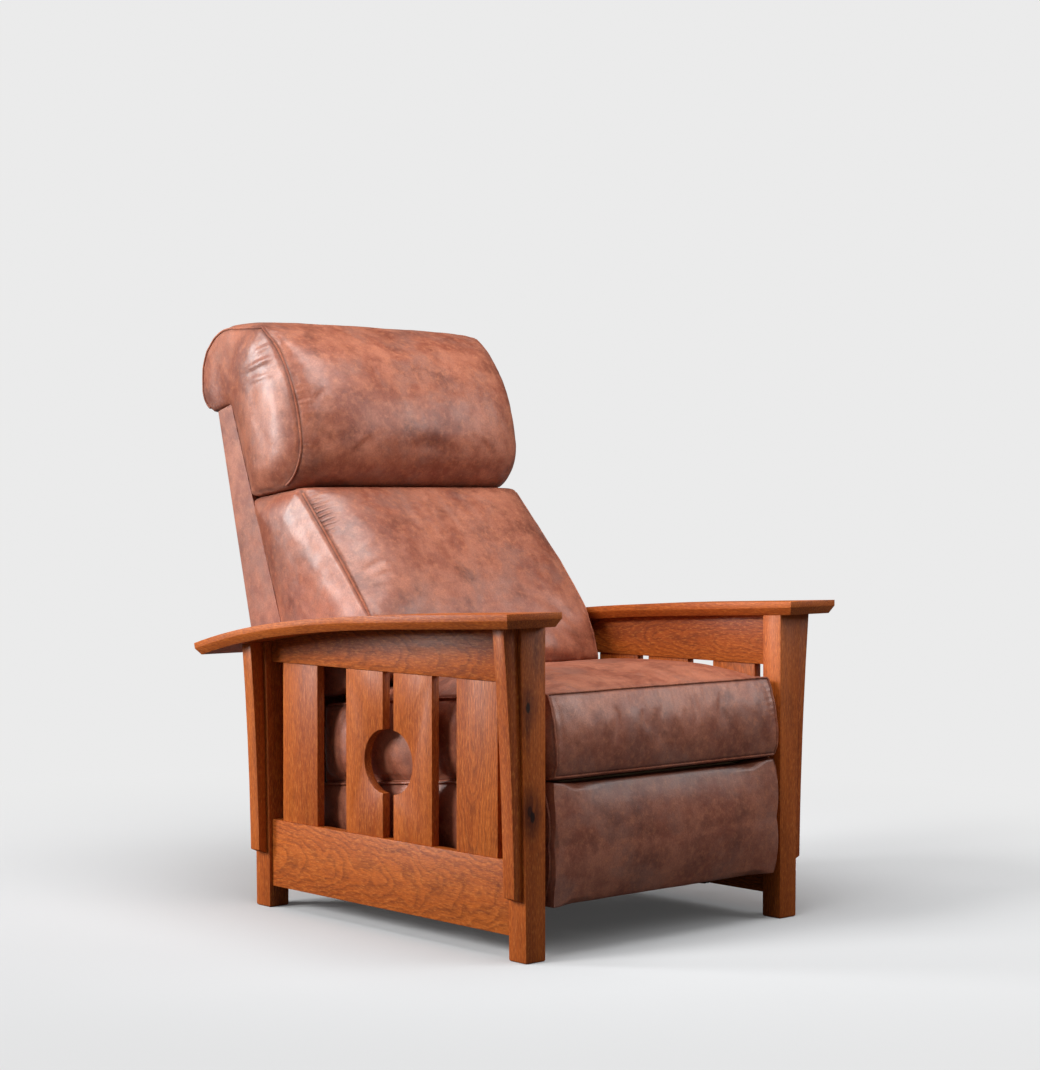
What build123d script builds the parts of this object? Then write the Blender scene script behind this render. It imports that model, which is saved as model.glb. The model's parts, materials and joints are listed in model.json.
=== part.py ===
from build123d import *
import math
import os

# A reclining armchair: an open wooden frame with bowed arms, an upholstered seat and back,
# and a footrest carried by a folding leg-rest linkage below the seat.
# Millimetres. +Z is up, the chair faces -Y, and the sitter's left is +X.
# The origin is on the floor, midway across the chair and midway along its whole depth, but
# every y below counts from the front faces of the front posts; keep moves what it stores.

frame_width = 688.0
frame_depth = 786.0
rest_gap = 0.3

# Wooden frame
post_section = 44.5
post_flare_top = 13.7
post_flare_middle = 4.3
post_headroom = 10.5
post_foot_chamfer = 2.0

arm_front_overhang = 32.5
arm_inner_overhang = 8.0
arm_width = 125.0
arm_thickness = 25.0
arm_edge_height = 11.0
arm_bevel_run = 8.0
arm_front_z = 599.5
arm_rear_overhang = 107.5
arm_drop_straight = 38.0
arm_drop_bow = 53.0
arm_bow_power = 4
arm_station_shares = (0.0, 0.3, 0.55, 0.8, 1.0)
arm_headroom = 160.0

rail_thickness = 22.0
rail_recess = 5.6
bottom_rail_z = 42.0
bottom_rail_height = 129.0
top_rail_drop = 123.0

slat_thickness = 17.0
slat_recess = 2.5
slat_width = 110.0
slat_gaps = {"rear": 32.0, "rear_cut": 88.5, "front_cut": 30.5, "front": 67.5}
slat_front_gap = 38.5
cutout_radius = 58.5
cutout_z = 311.5
cutout_offset = 4.0

corbel_thickness = 28.0
corbel_bottom_z = 104.0
corbel_bottom_rise = 8.0
corbel_reaches = (20.0, 27.9, 45.0)
corbel_middle_z = 335.0
corbel_top_drop = 27.5

cross_rail_z = 60.0
cross_rail_height = 90.0
front_cross_rail_y = 308.5
rear_cross_rail_y = 752.5

# Seat box; it falls towards the back by seat_slope
seat_slope = 0.1
seat_front_z = 308.0
seat_box_front_y = 48.5
seat_box_rear_y = 650.0
seat_side_gap = 22.5
seat_side_thickness = 20.0
seat_tail_height = 25.0
seat_tail_run = 24.0
web_thickness = 2.0
web_width = 50.0
web_pitch = 105.0
web_first_y = 118.5
web_count = 5
skirt_thickness = 9.5
skirt_round = 4.0
skirt_gap = 2.0
front_rail_y = 50.0
front_rail_thickness = 17.0
front_rail_z = 222.0
front_rail_tongue_z = 287.0
front_rail_top_z = 299.0
front_rail_setback = 50.0
rear_rail_thickness = 20.0
rear_rail_drop = 8.0

# Every cushion is full in the middle and drawn in to its sewn edge at the sides. Each pair of
# crown_shares tells how far out it lies and how much of the crown is left there. The side
# panels swell out beyond the sewn edges.
side_swell = 5.0
cushion_side_gap = 15.5
cushion_side_scales = (0.93, 0.55)
cushion_rear_y = 650.0
cushion_rear_round = 8.0
cushion_nose = ((-8.0, 322.0), (-11.0, 344.0))
cushion_breast = (-5.5, 400.0)
cushion_brow = (13.5, 458.0)
cushion_sewn_top = ((88.5, 451.6), (188.5, 442.0), (418.5, 420.0))
cushion_crown_top = ((88.5, 476.0), (188.5, 480.5), (418.5, 462.0))
cushion_heel_z = 398.0
crown_shares = ((0.55, 1), (0.78, 0.88), (0.9, 0.62), (0.97, 0.28), (1, 0))
corner_share = 1 - math.sqrt(0.5)

# Back: two lines in the side view bound the frame, the lean behind and the seam in front
lean_top = (1019.2, 968.3)
lean_slope = 0.2611
seam_top = (967.0, 982.6)
seam_slope = 0.389
back_bottom_z = 262.0
back_bottom_y = 724.5
back_knee_z = 402.0
shell_side_gap = 23.5
shell_wall = 10.0
shell_round = 9.0
stile_inset = 28.0
stile_thickness = 22.0
stile_lift = 14.0
stile_top_z = 940.0
back_rail_thickness = 22.0
back_rails_z = ((280.0, 340.0), (610.0, 665.0), (880.0, 935.0))
back_webs_z = (430.0, 500.0, 560.0, 700.0, 780.0)
back_web_height = 46.0

# Cushions of the back
pad_side_gap = 19.5
roll_swell = 4.0
roll_taper = 72.0
lumbar_taper = 65.0
roll_centre = (962.5, 1035.0)
roll_radius = 107.0
roll_arc_angles = (-20.0, 40.0, 100.0)
roll_tip = (1026.5, 966.8)
roll_tip_round = (1046.5, 978.5)
roll_sewn_front = ((852.5, 1139.0), (775.5, 1049.0), (728.5, 915.0), (749.5, 838.0), (818.5, 806.0))
roll_crown_front = ((852.5, 1143.0), (734.5, 1061.0), (681.5, 905.0), (699.5, 838.0), (756.5, 812.0))
lumbar_sewn_front = ((726.5, 808.0), (616.5, 692.5), (510.5, 574.0), (485.5, 518.0), (468.5, 462.0))
lumbar_crown_front = ((684.5, 807.0), (576.5, 690.0), (504.5, 574.0), (480.5, 518.0), (464.5, 462.0))
lumbar_crown_top = (710.5, 815.0)
lumbar_sewn_top = (730.5, 812.5)
lumbar_underside = ((504.5, 452.0), (623.5, 413.0))
crease_y = 750.5
crease_gap = 0.8
crease_rear_z = 792.0
crease_fall = 0.132

# Footrest: a board in a padded cover
board_inset = 11.0
board_thickness = 15.0
board_rear_y = 45.0
board_z = (98.0, 290.0)
foot_z = (89.0, 298.5)
foot_depths = (36.0, 50.0)
foot_corner_share = 0.45
foot_swell_share = 0.87
foot_swell_height_share = 0.14
foot_side_gap = 20.5
foot_taper = 50.0

# Leg-rest linkage: pivots (y, z) of the folded bars; the rest of the pivots complete
# two parallelograms
plate_thickness = 3.0
bar_thickness = 4.0
bar_gap = 3.0
bar_width = 20.0
stud_radius = 4.0
stud_play = 0.05
open_pivot_play = 0.3
collar_radius = 6.5
head_radius = 7.5
head_thickness = 1.6
head_play = 0.4
main_pivot = (115.5, 205.5)
guide_pivot = (66.0, 208.0)
main_knee = (191.0, 63.5)
upper_knee = (191.0, 105.5)
lower_foot_pivot = (78.0, 228.0)
tube_centre = (140.0, 225.0)
tube_radius = 9.0
tube_bore = 7.0
bracket_flange = 20.0
bracket_margin = 6.0

# Steel side plates of the seat, with the hinge of the back at their rear end
plate_z = (190.0, 225.0)
plate_front_y = 52.5
plate_neck_y = (656.5, 670.5)
back_pivot = (704.5, 290.0)
back_stud_radius = 6.0
back_head_radius = 10.0
eye_radius = 14.0
back_bracket_y = (780.5, 814.5)
back_bracket_z = (300.0, 410.0)

screw_radius = 2.5
screw_length = 15.0
screw_head_radius = 5.0
screw_head_thickness = 2.0
plate_screws = ((88.5, 218.0), (238.5, 207.0), (418.5, 207.0), (578.5, 207.0))
bracket_screws = ((780.5, 312.0), (804.5, 395.0))

post_trim_z = arm_front_z + post_headroom
post_front_y = 0.0
post_rear_y = post_front_y + frame_depth
post_outer_x = frame_width / 2
post_inner_x = post_outer_x - post_section
arm_front_y = -arm_front_overhang
arm_length = arm_front_overhang + frame_depth + arm_rear_overhang
top_rail_z = arm_front_z - top_rail_drop
corbel_top_z = arm_front_z - corbel_top_drop
arm_inner_x = post_inner_x - arm_inner_overhang
arm_outer_x = arm_inner_x + arm_width
rail_outer_x = post_outer_x - rail_recess
rail_inner_x = rail_outer_x - rail_thickness
cross_rail_top_z = cross_rail_z + cross_rail_height
seat_side_outer_x = post_inner_x - seat_side_gap
seat_side_inner_x = seat_side_outer_x - seat_side_thickness
plate_inner_x = seat_side_inner_x - plate_thickness
front_rail_half_width = seat_side_inner_x - front_rail_setback
cushion_half_width = post_inner_x - cushion_side_gap
shell_half_width = post_inner_x - shell_side_gap
stile_outer_x = shell_half_width - stile_inset
pad_half_width = post_inner_x - pad_side_gap
foot_half_width = post_inner_x - foot_side_gap
board_half_width = foot_half_width - board_inset
guide_knee = (main_knee[0] + guide_pivot[0] - main_pivot[0],
              main_knee[1] + guide_pivot[1] - main_pivot[1])
upper_foot_pivot = (lower_foot_pivot[0] + upper_knee[0] - main_knee[0],
                    lower_foot_pivot[1] + upper_knee[1] - main_knee[1])

middle_y = (arm_front_y + roll_centre[0] + roll_radius) / 2
nodes = {}


def keep(name, shape):
    """Store a named piece, one solid or a group of separate solids, measured from the middle."""
    solids = (Pos(0, -middle_y, 0) * shape).solids()
    nodes[name] = solids[0] if len(solids) == 1 else Compound(children=list(solids))


def keep_pair(name, shape):
    """Store a piece of the sitter's left side and its mirror image on the right."""
    keep("left_" + name, shape)
    keep("right_" + name, mirror(shape, about=Plane.YZ))


def block(x, y, z):
    """Box between the two ends given for each axis."""
    spans = (x, y, z)
    size = [high - low for low, high in spans]
    centre = [(high + low) / 2 for low, high in spans]
    return Pos(*centre) * Box(*size)


def outline_face(outline, place):
    """Face from corners and (through, end) arcs; place turns a flat point into a 3D point."""
    edges = []
    last = outline[0]
    for step in list(outline[1:]) + [outline[0]]:
        if isinstance(step[0], tuple):
            through, end = step
            edges.append(Edge.make_three_point_arc(place(*last), place(*through), place(*end)))
        else:
            end = step
            edges.append(Edge.make_line(place(*last), place(*end)))
        last = end
    return Face(Wire(edges))


def side_slab(outline, x):
    """Outline in the side view (y, z), carried across from the first x to the second."""
    low, high = x
    face = outline_face(outline, lambda y, z: (low, y, z))
    return extrude(face, amount=high - low, dir=(1, 0, 0))


def front_slab(outline, y):
    """Outline in the front view (x, z), carried back from the first y to the second."""
    low, high = y
    face = outline_face(outline, lambda x, z: (x, low, z))
    return extrude(face, amount=high - low, dir=(0, 1, 0))


def disc(centre, radius, x):
    """Round bar across the chair, centred on (y, z) of the side view."""
    low, high = sorted(x)
    turned = Rot(0, 90, 0) * Cylinder(radius, high - low)
    return Pos((low + high) / 2, *centre) * turned


def hexagon(centre, radius, x):
    """Six-sided bar across the chair, centred on (y, z) of the side view."""
    low, high = sorted(x)
    profile = extrude(RegularPolygon(radius, 6), amount=high - low)
    return Pos(low, *centre) * Rot(0, 90, 0) * profile


def flat_bar(first, second, x):
    """Flat bar with round ends between two pivots of the side view."""
    angle = math.degrees(math.atan2(second[1] - first[1], second[0] - first[0]))
    middle = [(a + b) / 2 for a, b in zip(first, second)]
    low, high = x
    shank = Rot(angle, 0, 0) * Box(high - low, math.dist(first, second), bar_width)
    bar = Pos((low + high) / 2, *middle) * shank
    return bar + disc(first, bar_width / 2, x) + disc(second, bar_width / 2, x)


# Arms, posts, rails, slats and corbels of the frame

def arm_line(depth):
    """Points of the bowed line that runs at a depth below the arm's top."""
    points = []
    for share in arm_station_shares:
        drop = arm_drop_straight * share + arm_drop_bow * share**arm_bow_power
        fall = (arm_drop_straight + arm_bow_power * arm_drop_bow * share ** (arm_bow_power - 1))
        fall = fall / arm_length
        square = depth / math.hypot(1, fall)
        along = share * arm_length - square * fall
        points.append((0, arm_front_y + max(along, 0) * math.ceil(share), arm_front_z - drop - square))
    return points


def bowed_strip(depth, x):
    """Solid between two depths below the arm's top."""
    high, low = arm_line(depth[0]), arm_line(depth[1])
    edges = [Edge.make_spline(high), Edge.make_line(high[-1], low[-1]),
             Edge.make_spline(low[::-1]), Edge.make_line(low[0], high[0])]
    face = Pos(x[0], 0, 0) * Face(Wire(edges))
    return extrude(face, amount=x[1] - x[0], dir=(1, 0, 0))


def build_arm():
    arm = bowed_strip((0, arm_thickness), (arm_inner_x, arm_outer_x))
    wide = [face for face in arm.faces() if face.area > arm_width * arm_length / 2]
    broad = sorted(wide, key=lambda face: face.center().Z)
    underside = min([face for face in broad if abs(face.normal_at().Z) > arm_edge_height / arm_thickness],
                    key=lambda face: face.center().Z)
    return arm.chamfer(arm_bevel_run, arm_thickness - arm_edge_height, list(underside.edges()), underside)


arm = build_arm()
above_arm = bowed_strip((-arm_headroom, arm_thickness),
                        (arm_inner_x - arm_bevel_run, arm_outer_x + arm_bevel_run))


def build_post(y):
    """Post with a straight inner face and a slightly flared outer one, cut under the arm."""
    middle_z = post_trim_z / 2
    outline = [(post_inner_x, 0), (post_outer_x, 0),
               ((post_outer_x + post_flare_middle, middle_z),
                (post_outer_x + post_flare_top, post_trim_z)),
               (post_inner_x, post_trim_z)]
    post = front_slab(outline, y)
    foot_edges = post.edges().group_by(Axis.Z)[0]
    return chamfer(foot_edges, post_foot_chamfer)


def build_corbel(post, y):
    """Curved bracket on the outer face of a post, reaching up to the underside of the arm."""
    bottom_reach, middle_reach, top_reach = corbel_reaches
    outline = [(post_outer_x, corbel_bottom_z),
               (post_outer_x + bottom_reach, corbel_bottom_z + corbel_bottom_rise),
               ((post_outer_x + middle_reach, corbel_middle_z),
                (post_outer_x + top_reach, corbel_top_z)),
               (post_outer_x + top_reach, post_trim_z),
               (post_outer_x, post_trim_z)]
    middle = sum(y) / 2
    half = corbel_thickness / 2
    return front_slab(outline, (middle - half, middle + half)) - post - above_arm


keep_pair("arm", arm)
post_spans = {"front": (post_front_y, post_front_y + post_section),
              "rear": (post_rear_y - post_section, post_rear_y)}
for place, span in post_spans.items():
    full_post = build_post(span)
    keep_pair(place + "_post", full_post - above_arm)
    keep_pair(place + "_corbel", build_corbel(full_post, span))

rail_span = (post_spans["front"][1], post_spans["rear"][0])
rail_x = (rail_inner_x, rail_outer_x)
bottom_rail_top_z = bottom_rail_z + bottom_rail_height
keep_pair("bottom_rail", block(rail_x, rail_span, (bottom_rail_z, bottom_rail_top_z)))
keep_pair("top_rail", block(rail_x, rail_span, (top_rail_z, post_trim_z)) - above_arm)

rail_length = rail_span[1] - rail_span[0]
slat_fit = rail_length / (len(slat_gaps) * slat_width + sum(slat_gaps.values()) + slat_front_gap)
slat_outer_x = rail_outer_x - slat_recess
slat_x = (slat_outer_x - slat_thickness, slat_outer_x)
slat_rear_y = rail_span[1]
for name, gap in slat_gaps.items():
    slat_rear_y -= gap * slat_fit
    slat_front_y = slat_rear_y - slat_width * slat_fit
    slat = block(slat_x, (slat_front_y, slat_rear_y), (bottom_rail_top_z, top_rail_z))
    if name == "rear_cut":
        slat -= disc((slat_front_y - cutout_offset, cutout_z), cutout_radius, slat_x)
    if name == "front_cut":
        slat -= disc((slat_rear_y + cutout_offset, cutout_z), cutout_radius, slat_x)
    keep_pair(name + "_slat", slat)
    slat_rear_y = slat_front_y

cross_z = (cross_rail_z, cross_rail_top_z)
keep("front_cross_rail", block((-rail_inner_x, rail_inner_x),
                               (front_cross_rail_y, front_cross_rail_y + rail_thickness), cross_z))
keep("rear_cross_rail", block((-post_inner_x, post_inner_x),
                              (rear_cross_rail_y, rear_cross_rail_y + rail_thickness), cross_z))


# Seat box

def seat_line(y):
    """Height of the underside of the seat cushion."""
    return seat_front_z - seat_slope * (y - post_front_y)


def rail_line(y):
    """Height of the top of the seat's side rails, below the straps."""
    return seat_line(y) - rest_gap - web_thickness


def build_screws(spots, head_x, direction, length):
    """Screws across the chair; the heads lie on head_x and the shanks run in direction."""
    screws = []
    for spot in spots:
        shank_x = (head_x, head_x + direction * length)
        head = (head_x - direction * screw_head_thickness, head_x)
        screws.append(hexagon(spot, screw_radius, shank_x) + hexagon(spot, screw_head_radius, head))
    return screws


def both_sides(shapes):
    return Compound(children=list(shapes) + [mirror(shape, about=Plane.YZ) for shape in shapes])


plate_outer_x = seat_side_inner_x
side_screws = build_screws(plate_screws, plate_inner_x, 1, screw_length)
tail_top_z = cross_rail_top_z + seat_tail_height
tail_end_y = rear_cross_rail_y + rail_thickness
side_rail_outline = [(seat_box_front_y, cross_rail_top_z), (tail_end_y, cross_rail_top_z),
                     (tail_end_y, tail_top_z), (seat_box_rear_y + seat_tail_run, tail_top_z),
                     (seat_box_rear_y, tail_top_z + seat_tail_run),
                     (seat_box_rear_y, rail_line(seat_box_rear_y)),
                     (seat_box_front_y, rail_line(seat_box_front_y))]
side_rail = side_slab(side_rail_outline, (seat_side_inner_x, seat_side_outer_x))
for screw in side_screws:
    side_rail -= screw
keep_pair("seat_side_rail", side_rail)

front_rail_y_span = (front_rail_y, front_rail_y + front_rail_thickness)
front_rail = block((-seat_side_inner_x, seat_side_inner_x), front_rail_y_span,
                   (front_rail_tongue_z, front_rail_top_z))
front_rail += block((-front_rail_half_width, front_rail_half_width), front_rail_y_span,
                    (front_rail_z, front_rail_top_z))
keep("seat_front_rail", front_rail)
rear_rail_y_span = (seat_box_rear_y - rear_rail_thickness, seat_box_rear_y)
keep("seat_rear_rail", block((-plate_inner_x, plate_inner_x), rear_rail_y_span,
                             (cross_rail_top_z, rail_line(seat_box_rear_y) - rear_rail_drop)))

straps = []
for index in range(web_count):
    strap_y = (web_first_y + index * web_pitch, web_first_y + index * web_pitch + web_width)
    strap_outline = [(strap_y[0], rail_line(strap_y[0])), (strap_y[1], rail_line(strap_y[1])),
                     (strap_y[1], rail_line(strap_y[1]) + web_thickness),
                     (strap_y[0], rail_line(strap_y[0]) + web_thickness)]
    straps.append(side_slab(strap_outline, (-seat_side_outer_x, seat_side_outer_x)))
keep("seat_webbing", Compound(children=straps))

skirt_outline = [(seat_box_front_y, cross_rail_top_z), (seat_box_rear_y, cross_rail_top_z),
                 (seat_box_rear_y, seat_line(seat_box_rear_y) - skirt_gap),
                 (seat_box_front_y, seat_line(seat_box_front_y) - skirt_gap)]
skirt = side_slab(skirt_outline, (seat_side_outer_x, seat_side_outer_x + skirt_thickness))
skirt_face = skirt.faces().sort_by(Axis.X)[-1]
keep_pair("seat_skirt", fillet(skirt_face.edges(), skirt_round))


def mixed(first, second, share):
    """Outline part of the way from the first to the second of the same make."""
    if isinstance(first, (tuple, list)):
        return tuple(mixed(a, b, share) for a, b in zip(first, second))
    return first + (second - first) * share


def sized(outline, scales, centre):
    """Outline scaled about a centre, along and up by their own scales."""
    if isinstance(outline[0], (tuple, list)):
        return tuple(sized(part, scales, centre) for part in outline)
    return tuple(mid + (value - mid) * scale for value, mid, scale in zip(outline, centre, scales))


def pad_section(outline, x):
    """Face of a side-view outline at one place across the chair."""
    return outline_face(outline, lambda y, z: (x, y, z))


def pad_loft(sewn, crown, half_width):
    """Padded form across the chair: full in the middle and drawn in to its sewn edges."""
    first_reach = crown_shares[0][0]
    pad = loft([pad_section(crown, side * half_width * first_reach) for side in (-1, 1)], ruled=True)
    for side in (-1, 1):
        pad += loft([pad_section(mixed(sewn, crown, share), side * half_width * reach)
                     for reach, share in crown_shares], ruled=True)
    return pad


def tapered_sides(sewn, half_width, swell, taper):
    """Side panels that swell out from the sewn edges and slope in from them."""
    return [extrude(pad_section(sewn, side * half_width), amount=swell, dir=(side, 0, 0), taper=taper)
            for side in (-1, 1)]


def drawn_sides(sewn, half_width, swell, scales, centre):
    """Side panels that swell out from the sewn edges to a smaller copy of them."""
    panel = sized(sewn, scales, centre)
    return [loft([pad_section(sewn, side * half_width),
                  pad_section(panel, side * (half_width + swell))], ruled=True)
            for side in (-1, 1)]


def cushion_outline(top):
    """Side view of the seat cushion, from the lower front edge round the nose and over the top."""
    nose_round, nose = cushion_nose
    rise, crest, slope = top
    heel = (cushion_rear_y - cushion_rear_round, cushion_heel_z)
    heel_round = (cushion_rear_y - cushion_rear_round * corner_share,
                  cushion_heel_z - cushion_rear_round * corner_share)
    return ((post_front_y, seat_line(post_front_y)), (nose_round, nose),
            (cushion_breast, cushion_brow), (rise, crest), (slope, heel),
            (heel_round, (cushion_rear_y, cushion_heel_z - cushion_rear_round)),
            (cushion_rear_y, seat_line(cushion_rear_y)))


cushion_centre = ((cushion_rear_y + post_front_y) / 2, (cushion_heel_z + seat_front_z) / 2)
cushion_sewn = cushion_outline(cushion_sewn_top)
cushion = pad_loft(cushion_sewn, cushion_outline(cushion_crown_top), cushion_half_width)
keep("seat_cushion", cushion + drawn_sides(cushion_sewn, cushion_half_width, side_swell,
                                           cushion_side_scales, cushion_centre))


# Back

def rear_line(z):
    """Rear face of the back frame."""
    return lean_top[0] + (z - lean_top[1]) * lean_slope


def front_line(z):
    """Front edge of the back frame: the seam above the knee, a steeper line below it."""
    knee_y = seam_top[0] + (back_knee_z - seam_top[1]) * seam_slope
    if z >= back_knee_z:
        return seam_top[0] + (z - seam_top[1]) * seam_slope
    return knee_y - (knee_y - back_bottom_y) * (back_knee_z - z) / (back_knee_z - back_bottom_z)


def leaning(z, offset, thickness):
    """Outline of a board between two heights, set back from the front line by offset."""
    low, high = z
    return [(front_line(low) + offset, low), (front_line(low) + offset + thickness, low),
            (front_line(high) + offset + thickness, high), (front_line(high) + offset, high)]


shell_outline = [(back_bottom_y + rest_gap, back_bottom_z), (rear_line(back_bottom_z), back_bottom_z),
                 (lean_top[0], lean_top[1] - rest_gap), (seam_top[0] + rest_gap, seam_top[1] - rest_gap),
                 (front_line(back_knee_z) + rest_gap, back_knee_z)]
shell = side_slab(shell_outline, (-shell_half_width, shell_half_width))
corner_edges = shell.edges().filter_by(
    lambda edge: abs(abs(edge.center().X) - shell_half_width) < rest_gap
    and abs(edge.center().Y - rear_line(edge.center().Z)) < rest_gap)
shell = fillet(corner_edges, shell_round)
cavity_outline = [(back_bottom_y - shell_wall, back_bottom_z - shell_wall),
                  (rear_line(back_bottom_z - shell_wall) - shell_wall, back_bottom_z - shell_wall),
                  (rear_line(lean_top[1] + shell_wall) - shell_wall, lean_top[1] + shell_wall),
                  (front_line(lean_top[1] + shell_wall) - shell_wall, lean_top[1] + shell_wall),
                  (front_line(back_knee_z) - shell_wall, back_knee_z)]
cavity_half_width = shell_half_width - shell_wall
shell -= side_slab(cavity_outline, (-cavity_half_width, cavity_half_width))
keep("outside_back", shell)

stile_front = rest_gap + web_thickness
stile_bottom_z = back_bottom_z + stile_lift
stile_outline = [(front_line(stile_bottom_z) + stile_front, stile_bottom_z),
                 (rear_line(stile_bottom_z) - shell_wall, stile_bottom_z),
                 (rear_line(stile_top_z) - shell_wall, stile_top_z),
                 (front_line(stile_top_z) + stile_front, stile_top_z),
                 (front_line(back_knee_z) + stile_front, back_knee_z)]
stile_inner_x = stile_outer_x - stile_thickness
stile = side_slab(stile_outline, (stile_inner_x, stile_outer_x))
back_screws = build_screws(bracket_screws, stile_outer_x + bar_thickness, -1, screw_length)
for screw in back_screws:
    stile -= screw
keep_pair("back_stile", stile)
keep("back_screws", both_sides(back_screws))

keep("back_rails", Compound(children=[
    side_slab(leaning(z, stile_front, back_rail_thickness), (-stile_inner_x, stile_inner_x))
    for z in back_rails_z]))
keep("back_webbing", Compound(children=[
    side_slab(leaning((z, z + back_web_height), rest_gap, web_thickness),
              (-stile_outer_x, stile_outer_x))
    for z in back_webs_z]))


def crease_line(y):
    """Height of the plane between the roll and the cushion below it."""
    return crease_rear_z + (front_line(crease_rear_z) - y) * crease_fall


def roll_outline(front):
    """Side view of the roll from its tip behind, over the top and down the front."""
    behind, over, above = [
        (roll_centre[0] + roll_radius * math.cos(math.radians(angle)),
         roll_centre[1] + roll_radius * math.sin(math.radians(angle)))
        for angle in roll_arc_angles]
    top, upper, middle, lower, bottom = front
    crease_rear = (front_line(crease_rear_z + crease_gap), crease_rear_z + crease_gap)
    return (roll_tip, (roll_tip_round, behind), (over, above), top, (upper, middle),
            (lower, bottom), crease_rear, seam_top)


def lumbar_outline(top, front):
    """Side view of the lower cushion: over the top, down the front and along the underside."""
    shoulder, swell, bend, hollow, toe = front
    return ((crease_y, crease_line(crease_y)), (top, shoulder), (swell, bend), (hollow, toe),
            lumbar_underside[0], lumbar_underside[1],
            (front_line(back_knee_z), back_knee_z), (front_line(crease_rear_z), crease_rear_z))


roll_sewn = roll_outline(roll_sewn_front)
roll = pad_loft(roll_sewn, roll_outline(roll_crown_front), pad_half_width)
keep("headrest_roll", roll + tapered_sides(roll_sewn, pad_half_width, roll_swell, roll_taper))
lumbar_sewn = lumbar_outline(lumbar_sewn_top, lumbar_sewn_front)
lumbar = pad_loft(lumbar_sewn, lumbar_outline(lumbar_crown_top, lumbar_crown_front), pad_half_width)
keep("back_cushion", lumbar + tapered_sides(lumbar_sewn, pad_half_width, side_swell, lumbar_taper))

bracket_x = (stile_outer_x, stile_outer_x + bar_thickness)
back_pivot_y, back_pivot_z = back_pivot
bracket_outline = [(back_pivot_y, back_pivot_z - eye_radius), (back_bracket_y[1], back_bracket_z[0]),
                   (back_bracket_y[1] + eye_radius, back_bracket_z[1]),
                   (back_bracket_y[0], back_bracket_z[1]),
                   (back_pivot_y, back_pivot_z + eye_radius)]
back_bracket = side_slab(bracket_outline, bracket_x) + disc(back_pivot, eye_radius, bracket_x)
back_bracket -= disc(back_pivot, back_stud_radius + stud_play, bracket_x)
for screw in back_screws:
    back_bracket -= screw
keep_pair("back_bracket", back_bracket)


# Footrest

def foot_outline(depth):
    """Side view of the footrest pad: flat behind, full in front."""
    low, high = foot_z
    height = high - low
    corner = board_rear_y - depth * foot_corner_share
    swell = board_rear_y - depth * foot_swell_share
    rise = height * foot_swell_height_share
    middle = (board_rear_y - depth, (low + high) / 2)
    return ((board_rear_y, low), (corner, low), ((swell, low + rise), middle),
            ((swell, high - rise), (corner, high)), (board_rear_y, high))


board_front_y = board_rear_y - board_thickness
board_space = block((-board_half_width, board_half_width), (board_front_y, board_rear_y), board_z)
sewn_depth, crown_depth = foot_depths
foot_sewn = foot_outline(sewn_depth)
foot_pad = pad_loft(foot_sewn, foot_outline(crown_depth), foot_half_width)
foot_pad += tapered_sides(foot_sewn, foot_half_width, side_swell, foot_taper)
keep("footrest_pad", foot_pad - board_space)

layer = bar_thickness + bar_gap
plane_xs = [(plate_inner_x - index * layer, plate_inner_x - bar_gap - index * layer)
            for index in range(4)]
link_x, lift_x, bracket_plate_x = [(low - bar_thickness, low) for _, low in plane_xs[:3]]


def stud(centre, start_x, x, radius):
    """Riveted pin from start_x through a bar at x, with a collar before and a head behind it."""
    low, high = x
    head = (low - head_play - head_thickness, low - head_play)
    collar = (high + head_play, start_x)
    pin = disc(centre, radius, (head[0], start_x))
    return pin + hexagon(centre, head_radius, head) + hexagon(centre, collar_radius, collar)


def bore(centre, x, play):
    return disc(centre, stud_radius + play, x)


link_start_x, lift_start_x = link_x[0], lift_x[0]
main_link = flat_bar(main_pivot, main_knee, link_x) + flat_bar(main_pivot, upper_knee, link_x)
main_link += flat_bar(main_knee, upper_knee, link_x) + flat_bar(main_pivot, tube_centre, link_x)
main_link += side_slab([main_pivot, main_knee, upper_knee], link_x)
main_link += stud(main_knee, link_start_x, lift_x, stud_radius)
main_link += stud(upper_knee, link_start_x, lift_x, stud_radius)
main_link -= bore(main_pivot, link_x, stud_play)
keep_pair("main_link", main_link)

guide_link = flat_bar(guide_pivot, guide_knee, link_x)
guide_link += stud(guide_knee, link_start_x, lift_x, stud_radius)
guide_link -= bore(guide_pivot, link_x, stud_play)
keep_pair("guide_link", guide_link)

lift_link = flat_bar(main_knee, lower_foot_pivot, lift_x) + flat_bar(main_knee, guide_knee, lift_x)
lift_link += stud(lower_foot_pivot, lift_start_x, bracket_plate_x, stud_radius)
lift_link -= bore(main_knee, lift_x, stud_play)
lift_link -= bore(guide_knee, lift_x, open_pivot_play)
keep_pair("lift_link", lift_link)

tilt_link = flat_bar(upper_knee, upper_foot_pivot, lift_x)
tilt_link += stud(upper_foot_pivot, lift_start_x, bracket_plate_x, stud_radius)
tilt_link -= bore(upper_knee, lift_x, stud_play)
keep_pair("tilt_link", tilt_link)

tube_half = link_x[0]
tube = disc(tube_centre, tube_radius, (-tube_half, tube_half))
keep("torque_tube", tube - disc(tube_centre, tube_bore, (-tube_half, tube_half)))

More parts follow.
